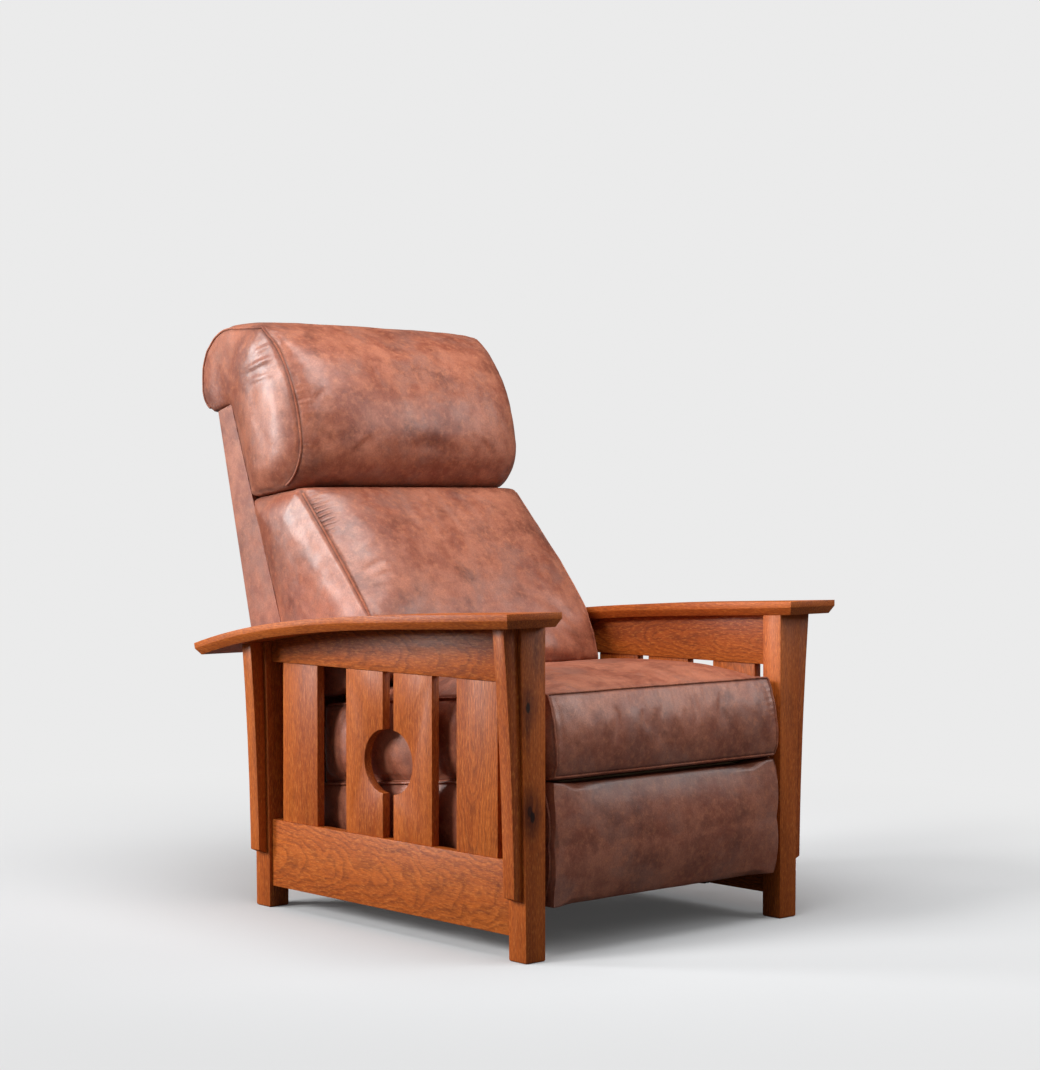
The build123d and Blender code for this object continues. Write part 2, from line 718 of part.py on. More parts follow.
eye_y = lower_foot_pivot[0]
bracket_low_z = lower_foot_pivot[1] - bar_width / 2
bracket_high_z = upper_foot_pivot[1] + bar_width / 2
plate_low_x, plate_high_x = bracket_plate_x
foot_bracket = block(bracket_plate_x, (board_rear_y, eye_y), (bracket_low_z, bracket_high_z))
foot_bracket += flat_bar(lower_foot_pivot, upper_foot_pivot, bracket_plate_x)
flange_x = (plate_high_x - bracket_flange - bar_thickness, plate_high_x)
flange_y = (board_rear_y, board_rear_y + bar_thickness)
foot_bracket += block(flange_x, flange_y, (bracket_low_z, bracket_high_z))
foot_bracket -= bore(lower_foot_pivot, bracket_plate_x, stud_play)
foot_bracket -= bore(upper_foot_pivot, bracket_plate_x, open_pivot_play)
keep_pair("foot_bracket", foot_bracket)
keep("footrest_board", board_space)

# Side plates of the mechanism
side_plate_x = (plate_inner_x, plate_outer_x)
plate_low_z, plate_high_z = plate_z
plate_outline = [(plate_front_y, plate_low_z), (plate_neck_y[1], plate_low_z),
                 (back_pivot_y + eye_radius, back_pivot_z), (back_pivot_y - eye_radius, back_pivot_z),
                 (plate_neck_y[0], plate_high_z), (plate_front_y, plate_high_z)]
side_plate = side_slab(plate_outline, side_plate_x) + disc(back_pivot, eye_radius, side_plate_x)
for screw in side_screws:
    side_plate -= screw
side_plate += stud(main_pivot, plate_inner_x, link_x, stud_radius)
side_plate += stud(guide_pivot, plate_inner_x, link_x, stud_radius)
hinge_head = (stile_outer_x - head_play - head_thickness, stile_outer_x - head_play)
side_plate += disc(back_pivot, back_stud_radius, (hinge_head[0], plate_inner_x))
side_plate += hexagon(back_pivot, back_head_radius, hinge_head)
keep_pair("side_plate", side_plate)
keep("plate_screws", both_sides(side_screws))

os.makedirs("parts", exist_ok=True)
for name, shape in nodes.items():
    export_step(shape, f"parts/{name}.step")
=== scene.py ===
"""Looks of a mission reclining armchair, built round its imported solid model.

Metres, +Z up. The chair faces -Y and the sitter's left is +X, as in the solid model.
"""

import json
import logging
import math
from collections.abc import Callable
from dataclasses import dataclass, field, replace
from enum import Enum

import bpy
import numpy as np
from mathutils import Euler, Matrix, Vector, noise
from mathutils.bvhtree import BVHTree
from mathutils.kdtree import KDTree

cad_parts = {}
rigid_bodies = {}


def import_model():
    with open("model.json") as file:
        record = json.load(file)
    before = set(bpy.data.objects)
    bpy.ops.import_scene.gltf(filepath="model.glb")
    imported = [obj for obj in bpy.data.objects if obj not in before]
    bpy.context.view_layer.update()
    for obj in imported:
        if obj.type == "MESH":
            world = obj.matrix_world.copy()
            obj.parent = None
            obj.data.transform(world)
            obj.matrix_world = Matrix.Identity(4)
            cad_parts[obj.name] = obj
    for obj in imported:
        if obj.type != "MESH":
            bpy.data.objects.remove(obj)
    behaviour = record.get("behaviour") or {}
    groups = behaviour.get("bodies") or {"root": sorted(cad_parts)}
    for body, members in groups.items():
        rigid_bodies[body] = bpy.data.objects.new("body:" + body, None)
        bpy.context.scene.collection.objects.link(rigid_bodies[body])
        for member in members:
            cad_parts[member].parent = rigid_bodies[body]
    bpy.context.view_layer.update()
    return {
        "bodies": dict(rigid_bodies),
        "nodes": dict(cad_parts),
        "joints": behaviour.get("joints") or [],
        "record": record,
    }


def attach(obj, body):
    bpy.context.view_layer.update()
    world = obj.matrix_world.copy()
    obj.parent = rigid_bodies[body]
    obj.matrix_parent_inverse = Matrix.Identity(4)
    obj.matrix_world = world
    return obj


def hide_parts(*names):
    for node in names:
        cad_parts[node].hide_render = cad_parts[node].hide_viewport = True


logging.basicConfig(level=logging.INFO, format="%(message)s")
LOG = logging.getLogger("armchair")

Triple = tuple[float, float, float]
Socket = bpy.types.NodeSocket

# Camera, fitted to the corners of the frame; the focal length is in pixels of the photograph.
PHOTO_HEIGHT = 1070
FOCAL_PIXELS = 2318.2
SENSOR = 36.0
CAMERA_SPOT = (-2.97157, -3.43622, 0.79515)
CAMERA_TURN = math.radians(-41.85)
CAMERA_TILT = math.radians(0.94)

# Start of a node's name, and the sign of its x, on each side of the chair.
SIDES = (("left_", 1), ("right_", -1))

# Vertices this close are one, faces that turn less than this are flat, and seams have points this far apart.
MERGE = 0.00002
FLAT_DEGREES = 0.5
SEAM_STEP = 0.002


class Grain(Enum):
    """Direction in which the grain of a wooden piece runs."""

    ACROSS = 0
    ALONG = 1
    UP = 2


class Cut(Enum):
    """How the board of a wooden piece was sawn from the log."""

    PLAIN = "plain"
    QUARTER = "quarter"


def new_material(name: str) -> tuple[bpy.types.Material, bpy.types.NodeTree]:
    """Make an empty node material.

    Args:
        name: Name of the material.

    Returns:
        The material and its node tree, with no nodes.
    """
    material = bpy.data.materials.new(name)
    material.use_nodes = True
    material.node_tree.nodes.clear()
    return material, material.node_tree


@dataclass
class Nodes:
    """Short ways of adding shader nodes to one tree."""

    tree: bpy.types.NodeTree

    def add(self, kind: str, **values: object) -> bpy.types.Node:
        """Add a node, set its properties, and its inputs by name.

        Args:
            kind: Type name of the node without its ShaderNode prefix.
            values: Properties of the node, or inputs whose names have underscores for spaces.

        Returns:
            The new node.
        """
        node = self.tree.nodes.new("ShaderNode" + kind)
        for key, value in values.items():
            if hasattr(node, key):
                setattr(node, key, value)
            else:
                self.put(node.inputs[key.replace("_", " ")], value)
        return node

    def put(self, socket: Socket, value: object) -> None:
        """Link an output into a socket, or set the socket's own value.

        Args:
            socket: The input.
            value: An output, or a plain value.
        """
        if isinstance(value, Socket):
            self.tree.links.new(value, socket)
        else:
            socket.default_value = value

    def math(self, operation: str, *inputs: object) -> Socket:
        """Add a math node.

        Args:
            operation: What it works out, such as SINE.
            inputs: Outputs or numbers, in order.

        Returns:
            The result.
        """
        node = self.tree.nodes.new("ShaderNodeMath")
        node.operation = operation
        for socket, value in zip(node.inputs, inputs):
            self.put(socket, value)
        return node.outputs[0]

    def plus(self, first: object, second: object) -> Socket:
        """Sum of two values."""
        return self.math("ADD", first, second)

    def times(self, first: object, second: object) -> Socket:
        """Product of two values."""
        return self.math("MULTIPLY", first, second)

    def less(self, first: object, second: object) -> Socket:
        """First value less the second."""
        return self.math("SUBTRACT", first, second)

    def ramp(self, factor: Socket, *stops: tuple[float, float]) -> Socket:
        """Add a colour ramp.

        Args:
            factor: What the ramp reads.
            stops: Place and grey level of each stop.

        Returns:
            The ramp's colour.
        """
        node = self.tree.nodes.new("ShaderNodeValToRGB")
        self.put(node.inputs[0], factor)
        elements = node.color_ramp.elements
        while len(elements) < len(stops):
            elements.new(0.5)
        for element, (place, grey) in zip(elements, stops):
            element.position = place
            element.color = (grey, grey, grey, 1.0)
        return node.outputs[0]

    def mix(self, kind: str, factor: object, first: object, second: object) -> Socket:
        """Mix two colours.

        Args:
            kind: Blend type, such as MIX or MULTIPLY.
            factor: How much of the second colour.
            first: Colour below.
            second: Colour above.

        Returns:
            The mixed colour.
        """
        node = self.tree.nodes.new("ShaderNodeMix")
        node.data_type = "RGBA"
        node.blend_type = kind
        self.put(node.inputs["Factor"], factor)
        for socket, value in ((node.inputs[6], first), (node.inputs[7], second)):
            if isinstance(value, tuple) and len(value) == 3:
                value = (*value, 1.0)
            self.put(socket, value)
        return node.outputs[2]

    def spread(self, value: object, low: float, high: float,
               new_low: float = 0.0, new_high: float = 1.0) -> Socket:
        """Map a range of values smoothly onto another range.

        Args:
            value: What is mapped.
            low: Value that becomes the new low.
            high: Value that becomes the new high.
            new_low: Result at low.
            new_high: Result at high.

        Returns:
            The mapped value.
        """
        node = self.tree.nodes.new("ShaderNodeMapRange")
        node.interpolation_type = "SMOOTHSTEP"
        for socket, number in zip(node.inputs, (value, low, high, new_low, new_high)):
            self.put(socket, number)
        return node.outputs[0]

    def tinted(self, base: object, colour: object, where: object, low: float, high: float,
               share: float) -> Socket:
        """Lay a colour over another where a pattern is high.

        Args:
            base: Colour below.
            colour: Colour above.
            where: The pattern.
            low: Value of the pattern with none of the colour.
            high: Value of the pattern with the most of it.
            share: How much of the colour that most is.

        Returns:
            The mixed colour.
        """
        return self.mix("MIX", self.times(self.spread(where, low, high), share), base, colour)

    def noise(self, vector: object, scale: float, detail: float = 4.0, roughness: float = 0.5,
              distortion: float = 0.0) -> Socket:
        """Add a noise texture.

        Args:
            vector: Coordinates.
            scale: Lumps in a metre.
            detail: How many finer layers.
            roughness: How strong the finer layers are.
            distortion: How far the lumps are warped.

        Returns:
            The noise, from 0 to 1.
        """
        node = self.add("TexNoise", Vector=vector, Scale=scale, Detail=detail,
                        Roughness=roughness, Distortion=distortion)
        return node.outputs[0]

    def mapped(self, place: Triple = (0, 0, 0), scale: Triple = (1, 1, 1)) -> Socket:
        """Object coordinates, scaled and moved.

        Args:
            place: How far they are moved.
            scale: Their scale on each axis.

        Returns:
            The coordinates.
        """
        spot = self.add("TexCoord")
        node = self.add("Mapping", vector_type="POINT")
        self.put(node.inputs[0], spot.outputs["Object"])
        node.inputs["Location"].default_value = place
        node.inputs["Scale"].default_value = scale
        return node.outputs[0]

    def surface(self, **values: object) -> None:
        """Add the surface shader and the output of the material.

        Args:
            values: Inputs of the shader, whose names have underscores for spaces.
        """
        shader = self.tree.nodes.new("ShaderNodeBsdfPrincipled")
        for key, value in values.items():
            if isinstance(value, tuple):
                value = (*value, 1.0)
            self.put(shader.inputs[key.replace("_", " ")], value)
        self.put(self.add("OutputMaterial").inputs[0], shader.outputs[0])

    def blended(self, share: object, first: bpy.types.Node, second: bpy.types.Node, kind: str) -> None:
        """Blend two shaders into the output.

        Args:
            share: How much of the second shader.
            first: Shader below.
            second: Shader above.
            kind: Type name of the output node without its ShaderNode prefix.
        """
        blend = self.add("MixShader", Fac=share)
        self.put(blend.inputs[1], first.outputs[0])
        self.put(blend.inputs[2], second.outputs[0])
        self.put(self.add(kind).inputs[0], blend.outputs[0])


def stretched(grain: Grain, along: float, across: float = 1.0) -> Triple:
    """Scale of a pattern that runs with the grain.

    Args:
        grain: Axis along which the grain runs.
        along: Scale along the grain.
        across: Scale on the other two axes.

    Returns:
        The scale on each axis.
    """
    return tuple(along if axis == grain.value else across for axis in range(3))


@dataclass(frozen=True)
class StainedOak:
    """Oak with a red-brown stain under a satin lacquer."""

    light: Triple = (0.55, 0.133, 0.019)
    middle: Triple = (0.38, 0.074, 0.010)
    dark: Triple = (0.070, 0.010, 0.003)
    fleck: Triple = (0.72, 0.235, 0.050)
    knot: Triple = (0.012, 0.004, 0.003)
    roughness: float = 0.44
    shine: float = 0.28
    lacquer: float = 0.06
    lacquer_roughness: float = 0.28
    rings_per_metre: float = 150.0
    plain_ring_depth: float = 0.46
    quarter_ring_depth: float = 0.14
    log_tilt: float = 0.10
    knot_flatness: float = 0.55
    knot_radius: float = 0.0055
    knot_halo: float = 0.034

    def build(self, board: "EasedBoard") -> bpy.types.Material:
        """Make the finish for one board.

        Args:
            board: The board, with its grain, its cut and its place in the log.

        Returns:
            The material.
        """
        material, tree = new_material(board.node + "_oak")
        n = Nodes(tree)
        plain = board.cut is Cut.PLAIN
        x, y, z = board.shift
        ring_space = n.mapped(board.shift, stretched(board.grain, 0.06))
        dash_scale = stretched(board.grain, 0.21)
        sway = n.noise(ring_space, 7.0, 3.0, 0.55)
        fine_sway = n.noise(ring_space, 30.0, 2.0, 0.5)
        reach = self.plain_reach(n, board, sway) if plain else self.quarter_reach(n, board, ring_space, sway)
        reach = n.plus(reach, n.times(fine_sway, 0.004))
        ring = n.math("FRACT", n.times(reach, self.rings_per_metre))
        late = n.ramp(ring, (0.0, 0.15), (0.35, 0.75), (0.8, 1.0), (1.0, 0.1))
        broad = n.noise(ring_space, 14.0, 5.0, 0.6)
        fibre = n.noise(n.mapped(board.shift, stretched(board.grain, 0.022)), 420.0, 4.0, 0.7)
        dashes = n.noise(n.mapped(board.shift, dash_scale), 430.0, 3.0, 0.6)
        pores = n.spread(dashes, 0.53, 0.63)
        blotches = n.noise(n.mapped((z, x, y), dash_scale), 42.0, 4.0, 0.6)
        ring_depth = self.plain_ring_depth if plain else self.quarter_ring_depth
        base = n.mix("MIX", n.spread(broad, 0.3, 0.72), self.middle, self.light)
        ringed = n.mix("MIX", n.times(n.less(1.0, late), ring_depth), base, self.dark)
        threaded = n.tinted(ringed, self.dark, fibre, 0.42, 0.68, 0.17)
        blotched = n.tinted(threaded, self.dark, blotches, 0.50, 0.76, 0.60 if board.knots else 0.26)
        pored = n.mix("MIX", n.times(pores, 0.30), blotched, self.dark)
        flecked = n.tinted(pored, self.fleck, dashes, 0.47, 0.36, 0.36)
        colour = self.knotted(n, board, flecked, broad)
        if not plain:
            rays = n.noise(n.mapped(board.shift, stretched(board.grain, 9.0, 34.0)), 1.0, 2.0, 0.6, 1.2)
            colour = n.tinted(colour, self.light, rays, 0.6, 0.68, 0.28)
        bump = n.add("Bump", Strength=0.16, Distance=0.0006, Height=n.less(n.times(fibre, 0.35), pores))
        gloss = n.spread(fibre, 0.3, 0.75, self.roughness - 0.05, self.roughness + 0.16)
        n.surface(Base_Color=colour, Roughness=gloss, Normal=bump.outputs[0], Specular_IOR_Level=self.shine,
                  Coat_Weight=self.lacquer, Coat_Roughness=self.lacquer_roughness)
        return material

    def plain_reach(self, n: Nodes, board: "EasedBoard", sway: Socket) -> Socket:
        """Distance from the middle of the log, for a plain-sawn board.

        Args:
            n: Nodes of the material.
            board: The board.
            sway: Noise that bends the rings.

        Returns:
            The distance, in metres.
        """
        place = n.add("SeparateXYZ", Vector=n.mapped()).outputs
        first, second = (axis for axis in range(3) if axis != board.grain.value)
        deep = n.plus(n.less(place[first], board.heart[first]),
                      n.times(place[board.grain.value], self.log_tilt))
        beside = n.less(place[second], board.heart[second])
        reach = n.math("SQRT", n.plus(n.times(deep, deep), n.times(beside, beside)))
        curl = n.noise(n.mapped(board.shift), 13.0, 2.0, 0.5)
        return n.plus(reach, n.plus(n.times(sway, 0.04), n.times(curl, 0.028)))

    def quarter_reach(self, n: Nodes, board: "EasedBoard", space: Socket, sway: Socket) -> Socket:
        """Distance across nearly flat rings, for a quarter-sawn board.

        Args:
            n: Nodes of the material.
            board: The board.
            space: Coordinates in the log.
            sway: Noise that bends the rings.

        Returns:
            The distance, in metres.
        """
        place = n.add("SeparateXYZ", Vector=space).outputs
        first, second = (axis for axis in range(3) if axis != board.grain.value)
        return n.plus(n.plus(place[first], place[second]), n.times(sway, 0.03))

    def knotted(self, n: Nodes, board: "EasedBoard", colour: Socket, broad: Socket) -> Socket:
        """Darken the colour round each knot of a board.

        Args:
            n: Nodes of the material.
            board: The board.
            colour: Colour of the wood.
            broad: Noise that frays the knots.

        Returns:
            The colour with its knots.
        """
        for across, along, up in board.knots:
            away = n.add("VectorMath", operation="DISTANCE")
            n.put(away.inputs[0], n.mapped(scale=(1.0, 1.0, self.knot_flatness)))
            away.inputs[1].default_value = (across, along, up * self.knot_flatness)
            span = n.plus(away.outputs["Value"], n.times(n.less(broad, 0.5), 0.02))
            colour = n.mix("MIX", n.spread(span, self.knot_halo, 0.004, 0.0, 0.55), colour, self.dark)
            colour = n.mix("MIX", n.spread(span, self.knot_radius, 0.003, 0.0, 0.9), colour, self.knot)
        return colour


@dataclass(frozen=True)
class BrownLeather:
    """Soft aniline leather with cloudy mottling and a fine pebble."""

    light: Triple = (0.48, 0.168, 0.098)
    middle: Triple = (0.29, 0.077, 0.041)
    dark: Triple = (0.100, 0.018, 0.009)
    grey: Triple = (0.30, 0.150, 0.120)
    freckle: Triple = (0.60, 0.215, 0.110)
    # Colour of the painted shade along the seam grooves.
    seam: Triple = (0.05, 0.014, 0.009)
    roughness: float = 0.34
    shine: float = 0.55
    coat: float = 0.15
    coat_roughness: float = 0.22
    pucker_length: float = 0.0115
    pucker_depth: float = 0.0032
    pebbles_per_metre: float = 620.0
    pebble_depth: float = 0.0009

    def dulled(self) -> "BrownLeather":
        """The same leather without its polish, for welts."""
        return replace(self, roughness=0.62, shine=0.2, coat=0.0)

    def build(self, name: str, shift: Triple = (0, 0, 0)) -> bpy.types.Material:
        """Make the finish of one cover.

        Args:
            name: Name of the material.
            shift: Place of the cover on the hide, in metres.

        Returns:
            The material.
        """
        material, tree = new_material(name)
        n = Nodes(tree)
        x, y, z = shift
        hide = n.mapped(shift)
        clouds = n.noise(hide, 7.0, 4.0, 0.55)
        greys = n.noise(n.mapped((x + 7.0, y, z)), 10.0, 5.0, 0.6, 0.3)
        deeps = n.noise(n.mapped((x, y + 5.0, z)), 15.0, 6.0, 0.66)
        freckles = n.noise(hide, 85.0, 4.0, 0.65)
        specks = n.noise(hide, 330.0, 3.0, 0.6)
        patches = n.noise(n.mapped((x, y, z + 3.0)), 26.0, 5.0, 0.62, 0.4)
        mottled = n.plus(n.times(clouds, 0.55), n.times(patches, 0.45))
        base = n.mix("MIX", n.spread(mottled, 0.38, 0.62), self.middle, self.light)
        dusty = n.tinted(base, self.grey, greys, 0.46, 0.66, 0.50)
        cloudy = n.tinted(dusty, self.dark, deeps, 0.46, 0.72, 0.52)
        freckled = n.tinted(cloudy, self.freckle, freckles, 0.45, 0.72, 0.45)
        speckled = n.mix("MULTIPLY", 0.55, freckled, n.ramp(specks, (0.32, 0.55), (0.64, 1.0)))
        seam, gather, along = (n.add("Attribute", attribute_name=mark).outputs["Fac"]
                               for mark in ("seam", "gather", "along"))
        turn = n.times(n.plus(along, n.times(clouds, 0.012)), math.tau / self.pucker_length)
        ripple = n.times(n.spread(n.math("SINE", turn), -0.9, 0.9), gather)
        # Painted shade in the gathers, deepest in the troughs of the puckers.
        shaded = n.mix("MIX", n.times(n.less(gather, ripple), 0.45), speckled, self.dark)
        # Painted shade: each seam groove darkens towards the seam colour.
        seam_shaded = n.mix("MIX", n.times(seam, 0.85), shaded, self.seam)
        puckers = n.add("Bump", Strength=1.0, Distance=self.pucker_depth, Height=ripple)
        pebble = n.add("TexVoronoi", Vector=hide, Scale=self.pebbles_per_metre, feature="F1").outputs[0]
        pores = n.noise(hide, 900.0, 2.0, 0.5)
        creases = n.noise(n.mapped(shift, (1.0, 1.0, 0.7)), 60.0, 6.0, 0.72, 1.6)
        height = n.plus(n.times(pebble, 0.6), n.plus(n.times(pores, 0.4), n.times(creases, 1.4)))
        bump = n.add("Bump", Strength=0.30, Distance=self.pebble_depth, Height=height,
                     Normal=puckers.outputs[0])
        gloss = n.plus(n.spread(greys, 0.3, 0.72, self.roughness + 0.08, self.roughness - 0.04),
                       n.plus(n.times(specks, 0.06), n.times(seam, 0.5)))
        n.surface(Base_Color=seam_shaded, Roughness=gloss, Normal=bump.outputs[0], Specular_IOR_Level=self.shine,
                  Coat_Weight=self.coat, Coat_Roughness=self.coat_roughness)
        return material


@dataclass(frozen=True)
class PlainWood:
    """Unstained hardwood and plywood of the hidden frames."""

    light: Triple = (0.56, 0.40, 0.24)
    dark: Triple = (0.40, 0.26, 0.14)
    roughness: float = 0.62

    def build(self, name: str, grain: Grain) -> bpy.types.Material:
        """Make the finish for boards with one direction of grain.

        Args:
            name: Name of the material.
            grain: Axis along which the grain runs.

        Returns:
            The material.
        """
        material, tree = new_material(name)
        n = Nodes(tree)
        space = n.mapped(scale=stretched(grain, 0.05))
        sway = n.noise(space, 12.0, 4.0, 0.6)
        fibre = n.noise(space, 320.0, 4.0, 0.65)
        rings = n.math("FRACT", n.times(sway, 14.0))
        base = n.tinted(self.light, self.dark, rings, 0.2, 0.9, 0.6)
        fibred = n.tinted(base, self.dark, fibre, 0.4, 0.7, 0.4)
        bump = n.add("Bump", Strength=0.2, Distance=0.0005, Height=fibre)
        n.surface(Base_Color=fibred, Roughness=self.roughness, Normal=bump.outputs[0])
        return material


@dataclass(frozen=True)
class BlackSteel:
    """Black paint on pressed steel, rubbed at random."""

    paint: Triple = (0.018, 0.018, 0.02)
    rubbed: Triple = (0.07, 0.07, 0.075)

    def build(self, name: str) -> bpy.types.Material:
        """Make the finish of the mechanism.

        Args:
            name: Name of the material.

        Returns:
            The material.
        """
        material, tree = new_material(name)
        n = Nodes(tree)
        space = n.mapped()
        scuffs = n.noise(space, 46.0, 6.0, 0.7, 1.5)
        orange_peel = n.noise(space, 700.0, 2.0, 0.5)
        colour = n.mix("MIX", n.spread(scuffs, 0.55, 0.75), self.paint, self.rubbed)
        bump = n.add("Bump", Strength=0.12, Distance=0.0003, Height=orange_peel)
        n.surface(Base_Color=colour, Roughness=n.spread(scuffs, 0.3, 0.8, 0.34, 0.55),
                  Metallic=0.0, Normal=bump.outputs[0])
        return material


@dataclass(frozen=True)
class ZincScrew:
    """Bright zinc on screws."""

    zinc: Triple = (0.62, 0.61, 0.58)
    dull: Triple = (0.40, 0.39, 0.36)

    def build(self, name: str) -> bpy.types.Material:
        """Make the finish of the screws.

        Args:
            name: Name of the material.

        Returns:
            The material.
        """
        material, tree = new_material(name)
        n = Nodes(tree)
        spots = n.noise(n.mapped(), 260.0, 4.0, 0.6)
        colour = n.mix("MIX", n.spread(spots, 0.4, 0.7), self.zinc, self.dull)
        n.surface(Base_Color=colour, Roughness=n.spread(spots, 0.3, 0.7, 0.28, 0.42), Metallic=1.0)
        return material


@dataclass(frozen=True)
class WovenStrap:
    """Dark jute strap, woven on the square."""

    warp: Triple = (0.055, 0.048, 0.040)
    weft: Triple = (0.12, 0.10, 0.078)
    threads_per_metre: float = 520.0
    roughness: float = 0.85

    def build(self, name: str) -> bpy.types.Material:
        """Make the finish of the straps.

        Args:
            name: Name of the material.

        Returns:
            The material.
        """
        material, tree = new_material(name)
        n = Nodes(tree)
        split = n.add("SeparateXYZ", Vector=n.mapped())
        step = math.pi * self.threads_per_metre
        over = n.math("SINE", n.times(split.outputs[0], step))
        under = n.math("SINE", n.times(n.plus(split.outputs[1], split.outputs[2]), step))
        weave = n.times(over, under)
        fuzz = n.noise(n.mapped(), 500.0, 4.0, 0.6)
        colour = n.mix("MIX", n.spread(weave, -0.6, 0.6), self.warp, self.weft)
        fuzzy = n.mix("MULTIPLY", 0.5, colour, n.ramp(fuzz, (0.3, 0.5), (0.7, 1.0)))
        bump = n.add("Bump", Strength=0.5, Distance=0.0006, Height=weave)
        n.surface(Base_Color=fuzzy, Roughness=self.roughness, Normal=bump.outputs[0])
        return material


def pick_only(thing: bpy.types.Object) -> None:
    """Make an object the only one selected, and the active one.

    Args:
        thing: The object.
    """
    bpy.ops.object.select_all(action="DESELECT")
    thing.select_set(True)
    bpy.context.view_layer.objects.active = thing


def finish_modifiers(thing: bpy.types.Object) -> None:
    """Apply every modifier of an object in order.

    Args:
        thing: The object.
    """
    pick_only(thing)
    for name in [modifier.name for modifier in thing.modifiers]:
        bpy.ops.object.modifier_apply(modifier=name)


def edit_all(piece: bpy.types.Object, *steps: Callable[[], object]) -> None:
    """Run edit-mode operators on the whole mesh of a piece.

    Args:
        piece: The piece.
        steps: The operators, in order.
    """
    pick_only(piece)
    bpy.ops.object.mode_set(mode="EDIT")
    bpy.ops.mesh.select_all(action="SELECT")
    for step in steps:
        step()
    bpy.ops.object.mode_set(mode="OBJECT")


def face_outwards() -> None:
    """Turn the selected faces outwards."""
    bpy.ops.mesh.normals_make_consistent(inside=False)


def copied_node(node: bpy.types.Object, name: str) -> bpy.types.Object:
    """Copy a node of the frame into a new piece with its own closed mesh.

    Args:
        node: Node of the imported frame.
        name: Name of the new piece.

    Returns:
        The new piece, at the origin.
    """
    mesh = node.data.copy()
    mesh.materials.clear()
    piece = bpy.data.objects.new(name, mesh)
    bpy.context.scene.collection.objects.link(piece)
    edit_all(piece, lambda: bpy.ops.mesh.remove_doubles(threshold=MERGE), face_outwards)
    if mesh.has_custom_normals:
        bpy.ops.mesh.customdata_custom_splitnormals_clear()
    return piece


def eased_copy(node: bpy.types.Object, name: str, ease: float, angle: float) -> bpy.types.Object:
    """Copy a node with its flat faces joined and its sharp edges eased.

    Args:
        node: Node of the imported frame.
        name: Name of the new piece.
        ease: Width of the eased edges, or zero for none.
        angle: Least turn of an edge that is eased, in degrees.

    Returns:
        The new piece.
    """
    piece = copied_node(node, name)
    edit_all(piece, lambda: bpy.ops.mesh.dissolve_limited(angle_limit=math.radians(FLAT_DEGREES)))
    if ease:
        bevel = piece.modifiers.new("eased", "BEVEL")
        bevel.width = ease
        bevel.segments = 2
        bevel.limit_method = "ANGLE"
        bevel.angle_limit = math.radians(angle)
        finish_modifiers(piece)
    return piece


def dress(piece: bpy.types.Object, material: bpy.types.Material) -> None:
    """Give a piece one material.

    Args:
        piece: The piece.
        material: The material.
    """
    piece.data.materials.clear()
    piece.data.materials.append(material)


def hand_over(piece: bpy.types.Object, material: bpy.types.Material, body: str, slot: str,
              *nodes: str) -> None:
    """Dress a piece, tie it to its body and hide the nodes that it stands for.

    Args:
        piece: The piece.
        material: Its material.
        body: Body that it moves with.
        slot: Its material slot; not used.
        nodes: Nodes that it replaces.
    """
    dress(piece, material)
    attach(piece, body)
    if nodes:
        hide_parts(*nodes)


def corners(piece: bpy.types.Object) -> np.ndarray:
    """Read the places of a mesh's vertices.

    Args:
        piece: The piece.

    Returns:
        One row for each vertex.
    """
    places = np.zeros(len(piece.data.vertices) * 3)
    piece.data.vertices.foreach_get("co", places)
    return places.reshape(-1, 3)


def normals(piece: bpy.types.Object) -> np.ndarray:
    """Read the normals of a mesh's vertices.

    Args:
        piece: The piece.

    Returns:
        One row for each vertex.
    """
    arrows = np.zeros(len(piece.data.vertices) * 3)
    piece.data.vertex_normals.foreach_get("vector", arrows)
    return arrows.reshape(-1, 3)


def move_corners(piece: bpy.types.Object, places: np.ndarray) -> None:
    """Put a mesh's vertices in new places.

    Args:
        piece: The piece.
        places: One row for each vertex.
    """
    piece.data.vertices.foreach_set("co", places.reshape(-1))
    piece.data.update()


def ramped(values: np.ndarray, low: float, high: float) -> np.ndarray:
    """Share of the way from one value to another, kept from 0 to 1.

    Args:
        values: What is compared.
        low: Value with share 0.
        high: Value with share 1.

    Returns:
        One share for each value.
    """
    return np.clip((values - low) / (high - low), 0, 1)


def smooth(share: np.ndarray) -> np.ndarray:
    """The same share with a soft start and end."""
    return share * share * (3 - 2 * share)


@dataclass
class EasedBoard:
    """One board of the oak frame, with its edges eased."""

    node: str
    grain: Grain
    cut: Cut = Cut.QUARTER
    shift: Triple = (0.0, 0.0, 0.0)
    heart: Triple = (0.0, 0.0, 0.0)
    knots: tuple[Triple, ...] = ()
    ease: float = 0.0013
    eased_degrees: float = 22.0
    smooth_degrees: float = 35.0

    def build(self, frame: dict, finish: StainedOak) -> bpy.types.Object:
        """Copy the board, ease its edges and stain it.

        Args:
            frame: The loaded frame.
            finish: The stained oak.

        Returns:
            The board.
        """
        piece = eased_copy(frame["nodes"][self.node], self.node + ".board", self.ease, self.eased_degrees)
        bpy.ops.object.shade_smooth_by_angle(angle=math.radians(self.smooth_degrees))
        hand_over(piece, finish.build(self), "frame", "oak", self.node)
        LOG.info("board %s: %d faces", self.node, len(piece.data.polygons))
        return piece


